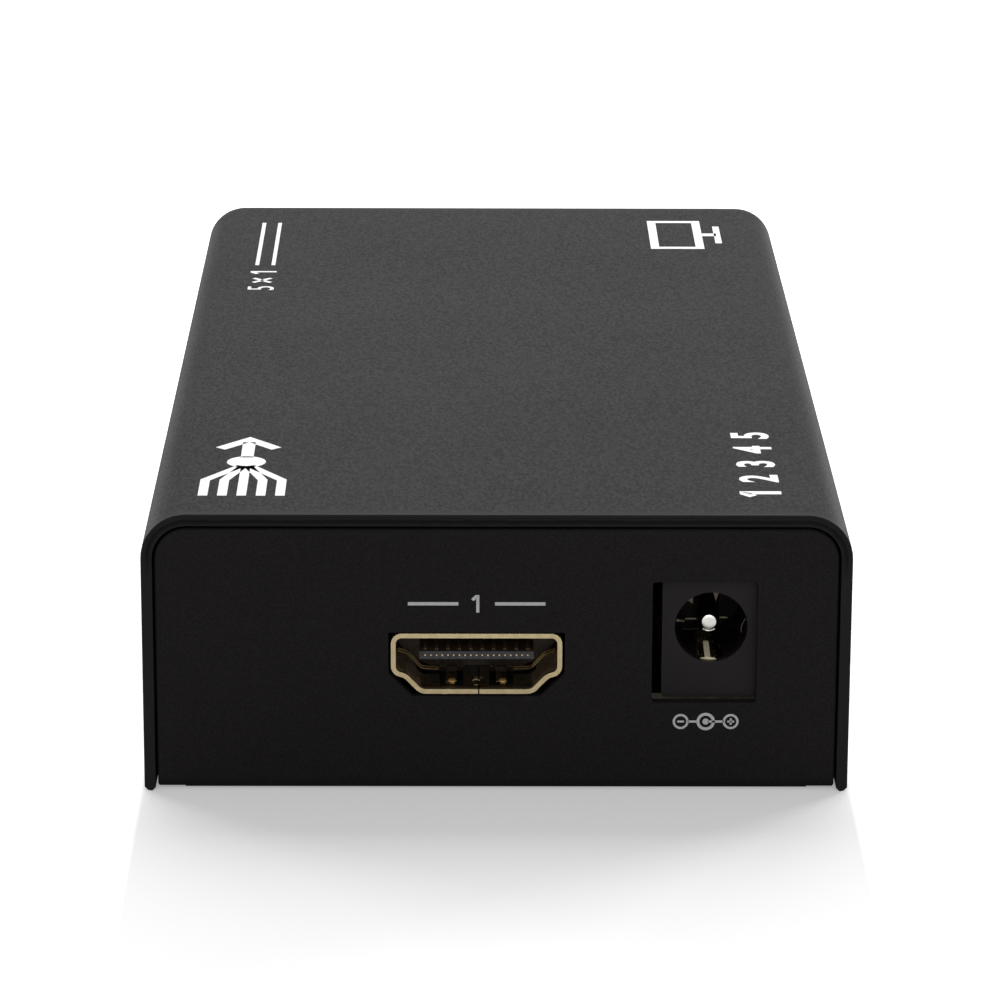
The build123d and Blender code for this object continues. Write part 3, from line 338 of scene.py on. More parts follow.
cover_black = finish(
    "cover_coat", powder,
    {
        "Color": (0.0010, 0.0008, 0.0014, 1.0),
        "Grain Color": (0.0220, 0.0207, 0.0236, 1.0),
        # Within these bounds of |y| the coat is painted lighter: a painted highlight along both end edges.
        "End Highlight Color": (0.0186, 0.0178, 0.0198, 1.0),
        "End Highlight From": 0.0562,
        "End Highlight To": 0.0577,
        "Grains per m": 4000.0,
        "Roughness": 0.5,
    },
    bump=0.000014, gloss=0.02,
)
edge_black = finish(
    "cover_edge_coat", powder,
    {
        "Color": (0.0120, 0.0114, 0.0122, 1.0),
        "Grain Color": (0.0150, 0.0144, 0.0154, 1.0),
        "Grains per m": 4000.0,
        "Roughness": 0.5,
    },
    bump=0.000004, gloss=0.02,
)
cut_black = finish(
    "cut_end_coat", sheared,
    {"Color": (0.0195, 0.0187, 0.0193, 1.0), "Roughness": 0.55},
    bump=0.000004, gloss=0.02,
)
cover_edge, chassis_edge, end_facing = 0.00014, 0.00006, 0.9
cover = finished_copy("cover_sheet", "cover", cover_edge, edge_slot=2)
coat(cover, cover_black, cut_black, edge_black, rule=lambda middles, normals: (
    np.abs(normals[:, 1]) > end_facing
))

# Chassis: base and both end panels bent from one sheet, with a smoother, duller black coat.
# Its grain is finer than the cover's, and its edges are less rounded.
chassis_black = finish(
    "chassis_coat", powder,
    {
        "Color": (0.0112, 0.0101, 0.0107, 1.0),
        "Grain Color": (0.0168, 0.0151, 0.0161, 1.0),
        "Grains per m": 7000.0,
        "Roughness": 0.55,
    },
    bump=0.000004, gloss=0.03,
)
chassis = finished_copy("chassis_sheet", "chassis", chassis_edge)
coat(chassis, chassis_black)


# Cover screws: blackened, countersunk, with a cross recess, one near each end of both long sides.
# The head's face is worked out on a grid of rings and rays, sunk where the cross is.
def wrapped_quads(rows, columns):
    """The faces of rows of points, where each row closes on its first point."""
    row, column = np.meshgrid(np.arange(rows - 1) * columns, np.arange(columns), indexing="ij")
    after = (column + 1) % columns
    quads = np.stack([row + column, row + columns + column, row + columns + after, row + after], axis=-1)
    return quads.reshape(-1, 4).tolist()


def revolved(rings, rays, place, across, up, out, dent=None):
    """Rings of (radius, height), turned about the axis out through place.
    dent(x, y, height), where given, says how far a point sinks."""
    angle = np.arange(rays) * 2 * math.pi / rays
    radius, height = np.array(rings).T
    flat_x = radius[:, None] * np.cos(angle)
    flat_y = radius[:, None] * np.sin(angle)
    rise = np.repeat(height[:, None], rays, axis=1)
    if dent is not None:
        rise = rise - dent(flat_x, flat_y, rise)
    points = (
        np.array(place)
        + flat_x[..., None] * np.array(across)
        + flat_y[..., None] * np.array(up)
        + rise[..., None] * np.array(out)
    )
    return points.reshape(-1, 3), wrapped_quads(len(rings), rays)


def joined(parts):
    """A bmesh of several (points, faces). Points that meet are merged, and its faces look outward."""
    work = bmesh.new()
    for points, faces in parts:
        corners = [work.verts.new(point) for point in points]
        for face in faces:
            work.faces.new([corners[i] for i in face])
    bmesh.ops.remove_doubles(work, verts=work.verts, dist=1e-7)
    bmesh.ops.recalc_face_normals(work, faces=work.faces)
    return work


def link_work(name, work):
    """The object of a finished bmesh."""
    mesh = bpy.data.meshes.new(name)
    work.to_mesh(mesh)
    work.free()
    return link_piece(name, mesh)


def closed_piece(name, parts, sharp=35):
    """A new piece from several closed (points, faces)."""
    piece = link_work(name, joined(parts))
    piece.data.shade_smooth()
    piece.data.set_sharp_from_angle(angle=math.radians(sharp))
    return piece


screw_y, screw_z = 0.0507, 0.0045
screw_head, screw_shank, screw_length, face_drop = 0.00227, 0.0012, 0.004, 0.00003
recess_reach, recess_half, recess_depth = 0.00125, 0.00034, 0.0011
side_slope, end_slope, rim_drop = 0.00008, 0.00012, 0.0001
wall_x = 0.031


def cross_recess(x, y, rise):
    """Depth of the cross: full in two crossed bars, drawing in towards the middle of the head.
    Only the head's face sinks, not what lies lower than its rim."""
    away = np.hypot(x, y)
    bar = np.minimum(np.abs(x), np.abs(y))
    inside = np.clip((recess_half - bar) / side_slope, 0, 1)
    inside = inside * np.clip((recess_reach - away) / end_slope, 0, 1)
    return np.where(rise > -rim_drop, inside * recess_depth * (1.1 - away / recess_reach * 0.5), 0.0)


head_rings = [(0.0, 0.0)]
head_rings += [(screw_head * step / 40, -face_drop) for step in range(1, 39)]
head_rings += [(screw_head * 0.99, -0.00005), (screw_head, -rim_drop), (screw_shank, -0.0011)]
head_rings += [(screw_shank, -screw_length), (0.0, -screw_length)]
screw_parts = [
    revolved(
        head_rings, 96,
        (side * wall_x, end * screw_y, screw_z),
        (0.0, 1.0, 0.0), (0.0, 0.0, 1.0), (side, 0.0, 0.0), cross_recess,
    )
    for side in (-1, 1) for end in (-1, 1)
]
screws = closed_piece("cover_screw_heads", screw_parts)
coat(screws, finish(
    "black_screw", powder,
    {
        "Color": (0.012, 0.012, 0.013, 1.0), "Grain Color": (0.03, 0.03, 0.032, 1.0),
        "Grains per m": 9000.0, "Roughness": 0.32,
    },
    bump=0.000002, coat=0.3,
))
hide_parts("cover_screws")
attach(screws, "box")


# Printed marks: white ink, about a hundredth of a millimetre thick, screened onto the coat.
# They are plain numbers and line signs: five lines into one, a screen, a centre-pin sign.
mm = 0.001
ink_thick, ink_sunk = 0.000016, 0.0000048


def ribbon(points, width, closed=False, sharpest=0.4):
    """A flat line of even width along points: each point is moved both ways along its joint's bisector.
    The move grows as the joint gets sharper, up to the width over the cosine called sharpest."""
    def squared(ways):
        return np.stack([-ways[:, 1], ways[:, 0]], axis=1)

    line = np.array(points, float)
    if closed:
        before, after = np.roll(line, 1, axis=0), np.roll(line, -1, axis=0)
    else:
        before = np.vstack([2 * line[0] - line[1], line[:-1]])
        after = np.vstack([line[1:], 2 * line[-1] - line[-2]])
    into = (line - before) / np.linalg.norm(line - before, axis=1)[:, None]
    onward = (after - line) / np.linalg.norm(after - line, axis=1)[:, None]
    bisector = into + onward
    side = squared(bisector / np.linalg.norm(bisector, axis=1)[:, None])
    stretch = width / 2 / np.clip(np.abs((side * squared(into)).sum(1)), sharpest, 1)
    corners = np.vstack([line + side * stretch[:, None], line - side * stretch[:, None]])
    count = len(line)
    steps = np.arange(count if closed else count - 1)
    following = (steps + 1) % count
    return corners, np.stack([steps, following, following + count, steps + count], axis=1).tolist()


def ring(centre, radius, width, steps=40):
    """A round line."""
    angle = np.arange(steps) * 2 * math.pi / steps
    return ribbon(np.array(centre) + radius * np.stack([np.cos(angle), np.sin(angle)], axis=1), width, True)


def disc(centre, radius, steps=32):
    """A filled round dot."""
    angle = np.arange(steps) * 2 * math.pi / steps
    return np.array(centre) + radius * np.stack([np.cos(angle), np.sin(angle)], axis=1), [list(range(steps))]


def numeral(text, height, centre, weight=0.0):
    """Plain figures of a given height, centred, as a flat mesh. A one gets its flag drawn on."""
    if text == "1":
        return ribbon(
            np.array([(-0.24, 0.22), (-0.02, 0.42), (0.06, 0.42), (0.06, -0.5)]) * height + np.array(centre),
            (0.17 + 3 * weight) * height,
        )
    figure = bpy.data.curves.new("figure", "FONT")
    figure.body, figure.size, figure.resolution_u, figure.offset = text, 1.0, 4, weight
    holder = link_piece("figure", figure)
    bpy.context.view_layer.update()
    flat = bpy.data.meshes.new_from_object(holder.evaluated_get(bpy.context.evaluated_depsgraph_get()))
    corners = mesh_points(flat)[:, :2]
    low, high = corners.min(0), corners.max(0)
    corners = (corners - (low + high) / 2) * height / (high[1] - low[1]) + np.array(centre)
    faces = [list(face.vertices) for face in flat.polygons]
    bpy.data.objects.remove(holder)
    bpy.data.curves.remove(figure)
    bpy.data.meshes.remove(flat)
    return corners, faces


def print_marks(name, marks, origin, along, up, material):
    """Flat marks (points, faces) in mm, laid on a face: a skin on each side and an edge round each."""
    out = Vector(np.cross(along, up))
    work = joined([
        (np.array(origin) + mm * (corners[:, :1] * along + corners[:, 1:] * up), faces)
        for corners, faces in marks
    ])
    thick = bmesh.ops.extrude_face_region(work, geom=list(work.faces))
    for item in thick["geom"]:
        if isinstance(item, bmesh.types.BMVert):
            item.co += ink_thick * out
    for vert in work.verts:
        vert.co -= ink_sunk * out
    bmesh.ops.recalc_face_normals(work, faces=work.faces)
    piece = link_work(name, work)
    coat(piece, material)
    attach(piece, "box")


ink, given, out = shader_group("screened_ink", {"Color": (0.8, 0.8, 0.8, 1.0)})
pores = noise(ink, put(ink, "TexCoord").outputs["Object"], 9000.0)
tone = toned(ink, given["Color"], ranged(ink, pores, 0.25, 0.6, 0.86, 1.0))
hand_out(ink, out, tone, ranged(ink, pores, 0.2, 0.8, 0.45, 0.6), pores)
white_ink = finish("white_ink", ink, {"Color": (0.9, 0.9, 0.9, 1.0)}, bump=0.000002, gloss=0.4)
grey_ink = finish("grey_ink", ink, {"Color": (0.5, 0.5, 0.5, 1.0)}, bump=0.000002, gloss=0.4)

along_y, to_left = np.array([0.0, 1.0, 0.0]), np.array([-1.0, 0.0, 0.0])
to_right, to_top = np.array([1.0, 0.0, 0.0]), np.array([0.0, 0.0, 1.0])
top_z, panel_y = cad_box[1][2], -0.0578
socket_label_z, lamp_label_z, select_label_z = 0.0173, 0.0165, 0.0178
end_socket_x, socket_step, select_y, lamp_step = -0.00175, 0.02, 0.032, 10.0
label_height, label_line, middle_v = 1.6, 0.3, 3.85

five_lines = [
    ribbon([(0.4, v), (5.2, v), (9.6, middle_v + (v - middle_v) * 0.12)], 0.85)
    for v in (0.45, 2.15, middle_v, 5.55, 7.25)
]
five_lines += [disc((10.9, middle_v), 1.75), ribbon([(12.3, middle_v), (17.2, middle_v)], 1.15)]
five_lines += [ribbon([(15.2, 1.3), (18.1, middle_v), (15.2, 6.4)], 1.15)]
print_marks("mark_five_to_one", five_lines, (-0.0186, -0.0525, top_z), along_y, to_left, white_ink)

figures = [numeral(str(n + 1), 3.5, (1.4 + n * 4.6, 1.85), 0.03) for n in range(5)]
print_marks("mark_figures", figures, (0.0252, -0.0526, top_z), along_y, to_left, white_ink)

ratio = [numeral("5", 2.7, (1.2, 1.6)), numeral("1", 2.7, (8.0, 1.6))]
ratio += [ribbon([(3.6, 0.7), (5.4, 2.5)], 0.45), ribbon([(3.6, 2.5), (5.4, 0.7)], 0.45)]
ratio += [ribbon([(11.0, 0.7), (30.0, 0.7)], 0.4), ribbon([(11.0, 2.4), (30.0, 2.4)], 0.4)]
print_marks("mark_ratio", ratio, (-0.0222, 0.0206, top_z), along_y, to_left, white_ink)

screen = [ribbon([(0.5, 2.6), (12.3, 2.6), (12.3, 7.4), (0.5, 7.4)], 0.9, True)]
screen += [ribbon([(2.6, 0.5), (10.2, 0.5)], 0.7), ribbon([(6.4, 0.6), (6.4, 2.2)], 1.2)]
print_marks("mark_screen", screen, (0.0249, 0.0391, top_z), along_y, to_left, white_ink)


def socket_marks(label):
    """A socket's number with a line on each side."""
    left, right = [(-6.0, 0.0), (-1.6, 0.0)], [(1.6, 0.0), (6.0, 0.0)]
    return [numeral(label, label_height, (0.0, 0.0)), ribbon(left, label_line), ribbon(right, label_line)]


end_place = (end_socket_x, panel_y, socket_label_z)
print_marks("mark_input_1", socket_marks("1"), end_place, to_right, to_top, grey_ink)

pin_sign = [
    ring((0.0, 0.0), 0.68, 0.26), disc((0.0, 0.0), 0.28),
    ring((-2.2, 0.0), 0.6, 0.2), ring((2.2, 0.0), 0.6, 0.2),
    ribbon([(-1.6, 0.0), (-0.8, 0.0)], 0.2), ribbon([(0.2, 0.0), (1.6, 0.0)], 0.2),
    ribbon([(-2.5, 0.0), (-1.9, 0.0)], 0.18), ribbon([(1.9, 0.0), (2.5, 0.0)], 0.18),
    ribbon([(2.2, -0.3), (2.2, 0.3)], 0.18),
]
print_marks("mark_centre_pin", pin_sign, (0.0184, panel_y, 0.00645), to_right, to_top, grey_ink)

for n, label in enumerate("2345"):
    place = (-wall_x, (n - 2) * socket_step, socket_label_z)
    print_marks(f"mark_input_{label}", socket_marks(label), place, -along_y, to_top, grey_ink)
way_out = [ribbon([(-6.0, 0.0), (5.0, 0.0)], label_line)]
way_out += [ribbon([(3.6, -0.8), (5.4, 0.0), (3.6, 0.8)], label_line)]
print_marks("mark_output", way_out, (-wall_x, 2 * socket_step, socket_label_z), -along_y, to_top, grey_ink)
lamp_figures = [numeral(str(n + 1), label_height, ((n - 2) * lamp_step, 0.0)) for n in range(5)]
print_marks("mark_lamps", lamp_figures, (wall_x, 0.0, lamp_label_z), along_y, to_top, grey_ink)
step_sign = [ring((0.0, 0.0), 0.7, 0.22), disc((0.0, 0.0), 0.3)]
print_marks("mark_select", step_sign, (wall_x, select_y, select_label_z), along_y, to_top, grey_ink)


# Video sockets: a shell folded from gold-flashed sheet round a moulded insulator and its tongue.
# Each contact is a gold-plated strip half a millimetre from the next.
plated, given, out = shader_group("plated_metal", {
    "Color": (0.8, 0.6, 0.3, 1.0), "Dull Color": (0.5, 0.36, 0.17, 1.0), "Roughness": 0.25,
    "Streaks per m": 900.0, "Blots per m": 320.0,
})
where = put(plated, "TexCoord").outputs["Object"]
long_way = put(plated, "Mapping", {"Vector": where, "Scale": (1.0, 0.12, 1.0)}).outputs[0]
streaks = noise(plated, long_way, given["Streaks per m"], 3.0)
blots = ranged(plated, noise(plated, where, given["Blots per m"]), 0.4, 0.7, 0.0, 0.55)
rough = worked(plated, "MULTIPLY", given["Roughness"], ranged(plated, streaks, 0.3, 0.7, 0.75, 1.3))
hand_out(plated, out, mixed(plated, blots, given["Color"], given["Dull Color"]), rough, streaks)

moulded, given, out = shader_group("moulded_plastic", {
    "Color": (0.03, 0.03, 0.03, 1.0), "Roughness": 0.45, "Grains per m": 6000.0,
    "Clouds per m": 180.0, "Palest": 1.15, "Darkest": 0.85,
})
where = put(moulded, "TexCoord").outputs["Object"]
sparks = noise(moulded, where, given["Grains per m"])
flow = noise(moulded, where, given["Clouds per m"])
tone = toned(moulded, given["Color"], ranged(moulded, flow, 0.3, 0.7, given["Darkest"], given["Palest"]))
rough = worked(moulded, "MULTIPLY", given["Roughness"], ranged(moulded, sparks, 0.3, 0.7, 0.85, 1.15))
hand_out(moulded, out, tone, rough, sparks)

# Deeper in a socket or a bore less light comes back out, so finishes darken with the kept depth.
hollow, given, out = shader_group("socket_hollow", {
    "Color": (0.5, 0.5, 0.5, 1.0), "Deep Color": (0.1, 0.1, 0.1, 1.0),
    "Mouth": 0.0005, "Dark From": 0.0015, "Mouth Metal": 0.0, "Deep Metal": 0.0,
}, ("Color", "Metal"))
inward = put(hollow, "Attribute", attribute_name="depth").outputs["Fac"]
fade = ranged(hollow, inward, given["Mouth"], given["Dark From"], way="SMOOTHSTEP")
patches = noise(hollow, put(hollow, "TexCoord").outputs["Object"], 1500.0, 3.0)
deep = toned(hollow, given["Deep Color"], ranged(hollow, patches, 0.35, 0.65, 0.5, 1.4))
metal = ranged(hollow, fade, 0.0, 1.0, given["Mouth Metal"], given["Deep Metal"])
hand_out(hollow, out, mixed(hollow, fade, given["Color"], deep), metal)


def shade_hollow(material, values):
    """Puts the darkening group before a material's base colour, and on metal before its metallic share."""
    tree = material.node_tree
    shader = next(node for node in tree.nodes if node.type == "BSDF_PRINCIPLED")
    colour = shader.inputs["Base Color"].links[0].from_socket
    dim = put(tree, "Group", {"Color": colour, **values}, node_tree=hollow).outputs
    tree.links.new(dim["Color"], shader.inputs["Base Color"])
    if "Mouth Metal" in values:
        tree.links.new(dim["Metal"], shader.inputs["Metallic"])


def plate(name, colour, dull, rough, blots=320.0, bump=0.000001, metal=1.0, gloss=0.5):
    """A plated finish from its colour, its duller colour, its roughness and its blots per metre."""
    values = {"Color": (*colour, 1.0), "Dull Color": (*dull, 1.0), "Roughness": rough, "Blots per m": blots}
    return finish(name, plated, values, bump, gloss, metal)


shell_gold = plate("gold_plate", (0.61, 0.495, 0.295), (0.45, 0.36, 0.195), 0.24, 1300.0)
shade_hollow(shell_gold, {
    "Deep Color": (0.125, 0.082, 0.042, 1.0), "Mouth": 0.0003, "Dark From": 0.0012,
    "Mouth Metal": 1.0, "Deep Metal": 0.35,
})
# Painted shade: the socket floors wear a copy of the plate that darkens at once and deeper than on the
# walls.
shaded_floor_gold = shell_gold.copy()
shaded_floor_gold.name = "gold_plate_floor_painted_shade"
dim = next(node for node in shaded_floor_gold.node_tree.nodes if node.type == "GROUP" and node.node_tree == hollow)
for label, value in (("Deep Color", (0.037, 0.023, 0.0095, 1.0)), ("Mouth", 0.0), ("Dark From", 0.0006)):
    dim.inputs[label].default_value = value
bead_gold = plate("bead_gold", (0.38, 0.28, 0.12), (0.19, 0.13, 0.052), 0.4, 900.0)
tip_gold = plate("tip_gold", (0.5, 0.29, 0.09), (0.12, 0.06, 0.02), 0.45, 3600.0, metal=0.4, gloss=0.15)
# Painted highlight: a pale, barely metallic gold for the far edge of the floor dimple.
dimple_highlight_gold = plate("dimple_highlight_gold", (0.8, 0.66, 0.4), (0.4, 0.28, 0.12), 0.4, 2500.0, metal=0.1, gloss=0.15)
contact_gold = plate("contact_gold", (0.8, 0.6, 0.3), (0.62, 0.44, 0.2), 0.25, bump=0.0000005)
# Painted shade: the contact strips on the tongue, deep in the socket, get a dark gold that stands for the
# shade there.
strip_shade_gold = plate(
    "strip_gold_painted_shade", (0.09, 0.06, 0.04), (0.036, 0.022, 0.015), 0.5, 2400.0,
    bump=0.0000005, metal=0.2, gloss=0.1,
)
tongue_grey = finish(
    "socket_moulding", moulded,
    {
        "Color": (0.046, 0.043, 0.05, 1.0), "Roughness": 0.4,
        "Clouds per m": 2600.0, "Darkest": 0.58, "Palest": 1.3,
    },
    bump=0.000001, gloss=0.3,
)
shade_hollow(tongue_grey, {"Deep Color": (0.037, 0.023, 0.013, 1.0), "Mouth": 0.00093, "Dark From": 0.0011})

rim_y, rim_x, rim_z = -0.0576, -0.0298, 0.0117
socket_frames = {"input_1": (np.array([end_socket_x, rim_y, rim_z]), to_right, -along_y)}
for n, socket in enumerate(("input_2", "input_3", "input_4", "input_5", "output")):
    socket_frames[socket] = (np.array([rim_x, (n - 2) * socket_step, rim_z]), -along_y, to_left)

shell_edge = 0.00004
floor_drop, floor_from = 0.0015, 0.0003
finger_x, finger_half, finger_from, finger_to = 0.0022, 0.0005, 0.0012, 0.0022
tongue_depth, tongue_z, dot_half, dot_proud = 0.0009, 0.0005, 0.00006, 0.00002
dot_count, dot_spacing = 19, 0.0005
wall_corners, wall_rounds = [(7.04, -0.6), (6.12, -0.85), (4.86, -2.3), (3.4, -2.33)], [1.42, 0.7]
bead_depths, bead_radius = (0.0054, 0.0061), 0.00005
tip_places, tip_up, tip_depth = (-0.00215, 0.00231), -0.0023, 0.0021
tip_size, facing_up = (0.00037, 0.00022, 0.0005), 0.8
dimple_aside, dimple_depth, dimple_half, dimple_reach = -0.00003, 0.0019, 0.00034, 0.00075
dimple_radius, dimple_to = bead_radius * 0.7, bead_depths[0] - 0.001


def rounded(corners, radii, steps=8):
    """A line through corners, each inner one swapped for an arc that touches both of its runs."""
    points = [np.array(corners[0], float)]
    for before, corner, after, radius in zip(corners, corners[1:], corners[2:], radii):
        corner = np.array(corner, float)
        one = np.array(before) - corner
        two = np.array(after) - corner
        one, two = one / np.linalg.norm(one), two / np.linalg.norm(two)
        half = math.acos(np.clip(one @ two, -1, 1)) / 2
        middle = one + two
        centre = corner + middle / np.linalg.norm(middle) * radius / math.sin(half)
        start, end = corner + one * radius / math.tan(half), corner + two * radius / math.tan(half)
        for step in range(steps + 1):
            turned = (start - centre) * (1 - step / steps) + (end - centre) * step / steps
            points.append(centre + turned * radius / np.linalg.norm(turned))
    return points + [np.array(corners[-1], float)]


def pad(centre, sizes, axes, rays=32, rings=16, squareness=0.55):
    """A block with all its edges rounded off: a ball whose sines and cosines are drawn towards one
    by a power below one, stretched along three axes."""
    def drawn(value):
        return np.sign(value) * np.abs(value) ** squareness

    turn = np.arange(rays) * 2 * math.pi / rays
    tilt = np.linspace(0, math.pi, rings + 1)[:, None]
    across = drawn(np.sin(tilt)) * drawn(np.cos(turn))
    along = drawn(np.sin(tilt)) * drawn(np.sin(turn))
    upward = drawn(np.cos(tilt)) * np.ones(rays)
    stretches = zip((across, upward, along), sizes, axes)
    points = centre + sum(share[..., None] * size * axis for share, size, axis in stretches)
    return points.reshape(-1, 3), wrapped_quads(rings + 1, rays)


def tube(path, radius, sides=8):
    """A round section carried along a path: rings square to the path at each point."""
    line = np.array(path, float)
    ahead = np.gradient(line, axis=0)
    ahead /= np.linalg.norm(ahead, axis=1)[:, None]
    reference = np.array([0.31, 0.77, 0.55])
    one = np.cross(ahead, reference)
    one /= np.linalg.norm(one, axis=1)[:, None]
    two = np.cross(ahead, one)
    angle = np.arange(sides) * 2 * math.pi / sides
    points = line[:, None, :] + radius * (
        np.cos(angle)[:, None] * one[:, None, :] + np.sin(angle)[:, None] * two[:, None, :]
    )
    last = (len(line) - 1) * sides
    caps = [list(range(sides))[::-1], list(range(last, last + sides))]
    return points.reshape(-1, 3), wrapped_quads(len(line), sides) + caps


def brick(centre, halves, axes):
    """A block from its centre, half sizes and axes."""
    across, along, upward = (half * axis for half, axis in zip(halves, axes))
    corners = [
        centre + x * across + y * along + z * upward
        for z in (-1, 1) for x, y in ((-1, -1), (1, -1), (1, 1), (-1, 1))
    ]
    faces = [(0, 3, 2, 1), (4, 5, 6, 7), (0, 1, 5, 4), (1, 2, 6, 5), (2, 3, 7, 6), (3, 0, 4, 7)]
    return np.array(corners), faces


def socket_depth(origin, across, out, tips):
    """Depth behind the rim's plane, which sets the painted shade. Where tips is set, the fingers'
    free ends count as the mouth, so they are spared the painted shade and look lit.
    """
    def measure(points):
        inward = (origin - points) @ out
        aside = np.abs((points - origin) @ across)
        free_end = (np.abs(aside - finger_x) < finger_half) & (inward > finger_from) & (inward < finger_to)
        return np.where(free_end & tips, 0.0, inward)
    return measure


for socket, (origin, across, out_way) in socket_frames.items():
    inside = socket_depth(origin, across, out_way, False)
    free_ends = socket_depth(origin, across, out_way, True)
    axes = (across, to_top, out_way)
    shell = finished_copy(f"{socket}_gold_shell", f"{socket}_shell", shell_edge, free_ends)
    # Upward faces low inside the socket wear the painted-shade floor copy.
    coat(shell, shell_gold, shaded_floor_gold, rule=lambda middles, normals: (
        (normals[:, 2] > facing_up) & (middles[:, 2] < rim_z - floor_drop) & (inside(middles) > floor_from)
    ))
    block = finished_copy(f"{socket}_moulding", f"{socket}_insulator", 0, inside)
    coat(block, tongue_grey)
    dot_middle = origin + tongue_z * to_top - tongue_depth * out_way
    dots = [
        brick(
            dot_middle + (n - (dot_count - 1) / 2) * dot_spacing * across,
            (dot_half, dot_half, dot_proud), axes,
        )
        for n in range(dot_count)
    ]
    ends = closed_piece(f"{socket}_contact_ends", dots)
    coat(ends, contact_gold)
    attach(ends, "box")
    strips = finished_copy(f"{socket}_gold_strips", f"{socket}_contacts", 0, inside)
    coat(strips, strip_shade_gold)
    tip_middle = origin + tip_up * to_top - tip_depth * out_way
    tips = [pad(tip_middle + place * across, tip_size, axes) for place in tip_places]
    pads = closed_piece(f"{socket}_finger_tips", tips)
    coat(pads, tip_gold)
    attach(pads, "box")
    walls = [
        [
            origin + side * u * mm * across + v * mm * to_top - depth * out_way
            for u, v in rounded(wall_corners, wall_rounds)
        ]
        for side in (-1, 1) for depth in bead_depths
    ]
    floor_up = wall_corners[-1][1] * mm
    arcs = [
        [
            origin + (dimple_aside + dimple_half * math.cos(a)) * across + floor_up * to_top
            - (dimple_depth + dimple_reach * math.sin(a)) * out_way
            for a in np.radians(np.linspace(start, end, 12))
        ]
        for start, end in ((35, 145), (225, 315))
    ]
    beads = [tube(path, bead_radius) for path in walls] + [tube(path, dimple_radius) for path in arcs]
    seat = closed_piece(f"{socket}_bead", beads)
    # The far arc of the dimple ring wears the painted highlight; the near arc and the beads wear bead gold.
    coat(seat, bead_gold, dimple_highlight_gold, rule=lambda middles, normals: (
        (inside(middles) > dimple_depth) & (inside(middles) < dimple_to)
    ))
    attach(seat, "box")


# Power inlet: a black moulded housing on the board, its bore round a bright centre pin.
# A plated spring presses on the plug's sleeve from below.
def dress(material, *nodes):
    """A CAD node keeps its mesh and takes a finish."""
    for node in nodes:
        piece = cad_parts[node]
        if piece.material_slots:
            for held in piece.material_slots:
                held.material = material
        else:
            piece.data.materials.append(material)


black_moulding = finish(
    "black_moulding", moulded, {"Color": (0.0125, 0.0101, 0.0107, 1.0), "Roughness": 0.45},
    bump=0.000002, gloss=0.14,
)
bore_moulding = black_moulding.copy()
bore_moulding.name = "bore_moulding"
shade_hollow(bore_moulding, {
    "Deep Color": (0.0032, 0.0014, 0.0018, 1.0), "Mouth": 0.0001, "Dark From": 0.0012,
})
# Painted highlight: a near-white, barely metallic bronze for the leaf's highlights and for the glints in the
# bore.
painted_glint_bronze = plate(
    "painted_glint_bronze", (1.0, 0.92, 0.66), (0.82, 0.66, 0.36), 0.3, 2600.0, bump=0.0000004, metal=0.15,
)
bright_nickel = plate("nickel_steel", (0.9, 0.88, 0.84), (0.78, 0.75, 0.7), 0.14, bump=0.0000004)
spring_bronze = plate("spring_brass", (0.85, 0.72, 0.45), (0.68, 0.52, 0.28), 0.22, bump=0.0000004)
# A dimmer painted glint.
dim_painted_glint_bronze = plate(
    "dim_painted_glint_bronze", (0.12, 0.105, 0.08), (0.05, 0.043, 0.034), 0.5, 2500.0,
    bump=0.0000004, metal=0.0, gloss=0.2,
)
face_y = -0.05665
housing = finished_copy("inlet_housing", "jack_housing", 0.00005, lambda points: points[:, 1] - face_y)
coat(housing, bore_moulding)
dress(bright_nickel, "jack_pin_terminal", "jack_switch_terminal", "board_screws")

low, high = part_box("jack_pin")
mouth = np.array([(low.x + high.x) / 2, face_y, (low.z + high.z) / 2])
pin_aside, pin_lower, pin_extra = 0.0001, 0.00005, 0.0002
pin_length, pin_radius, pin_flat = high.y - low.y + pin_extra, 0.001, 0.00061
rivet_radius, rivet_sheet = 0.0014, 0.0004
pin_centre = (mouth[0] - pin_aside, high.y, mouth[2] - pin_lower)
pin_rings = [(0.0, 0.0), (rivet_radius, 0.0), (rivet_radius, rivet_sheet), (pin_radius, rivet_sheet)]
pin_rings += [
    (pin_radius, pin_length - 0.0013), (0.00093, pin_length - 0.0008), (0.00078, pin_length - 0.00035),
    (0.00066, pin_length - 0.00006), (pin_flat, pin_length - 0.00002), (pin_flat * 0.5, pin_length),
    (0.0, pin_length),
]
roll_radius, roll_half, roll_back = 0.00094, 0.00006, 0.00046
roll = [
    np.array(pin_centre) + (roll_radius * math.cos(a), roll_back - pin_length, roll_radius * math.sin(a))
    for a in np.radians(np.arange(-125, -54, 7))
]
turned = revolved(pin_rings, 48, pin_centre, to_right, to_top, -along_y)
pin = closed_piece("inlet_pin", [turned, tube(roll, roll_half)])
coat(pin, bright_nickel)
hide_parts("jack_pin")
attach(pin, "box")

low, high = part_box("jack_sleeve_spring")
leaf_aside, leaf_half, leaf_sheet, leaf_crown = -0.00024, 0.00074, 0.00024, 0.00014
leaf_back, leaf_low = (high.y - face_y) / mm, (low.z - mouth[2]) / mm
leaf_line = rounded([(0.6, -2.95), (4.2, -2.6), (leaf_back, -4.3), (leaf_back, leaf_low)], [4.0, 0.45])
# The leaf's tip and a narrow strip along its middle get a painted highlight; the strip stands for the pin's
# reflection.
highlight_half, highlight_end, tip_end = 0.0003, 0.0042, leaf_line[0][0] * mm + 0.0001


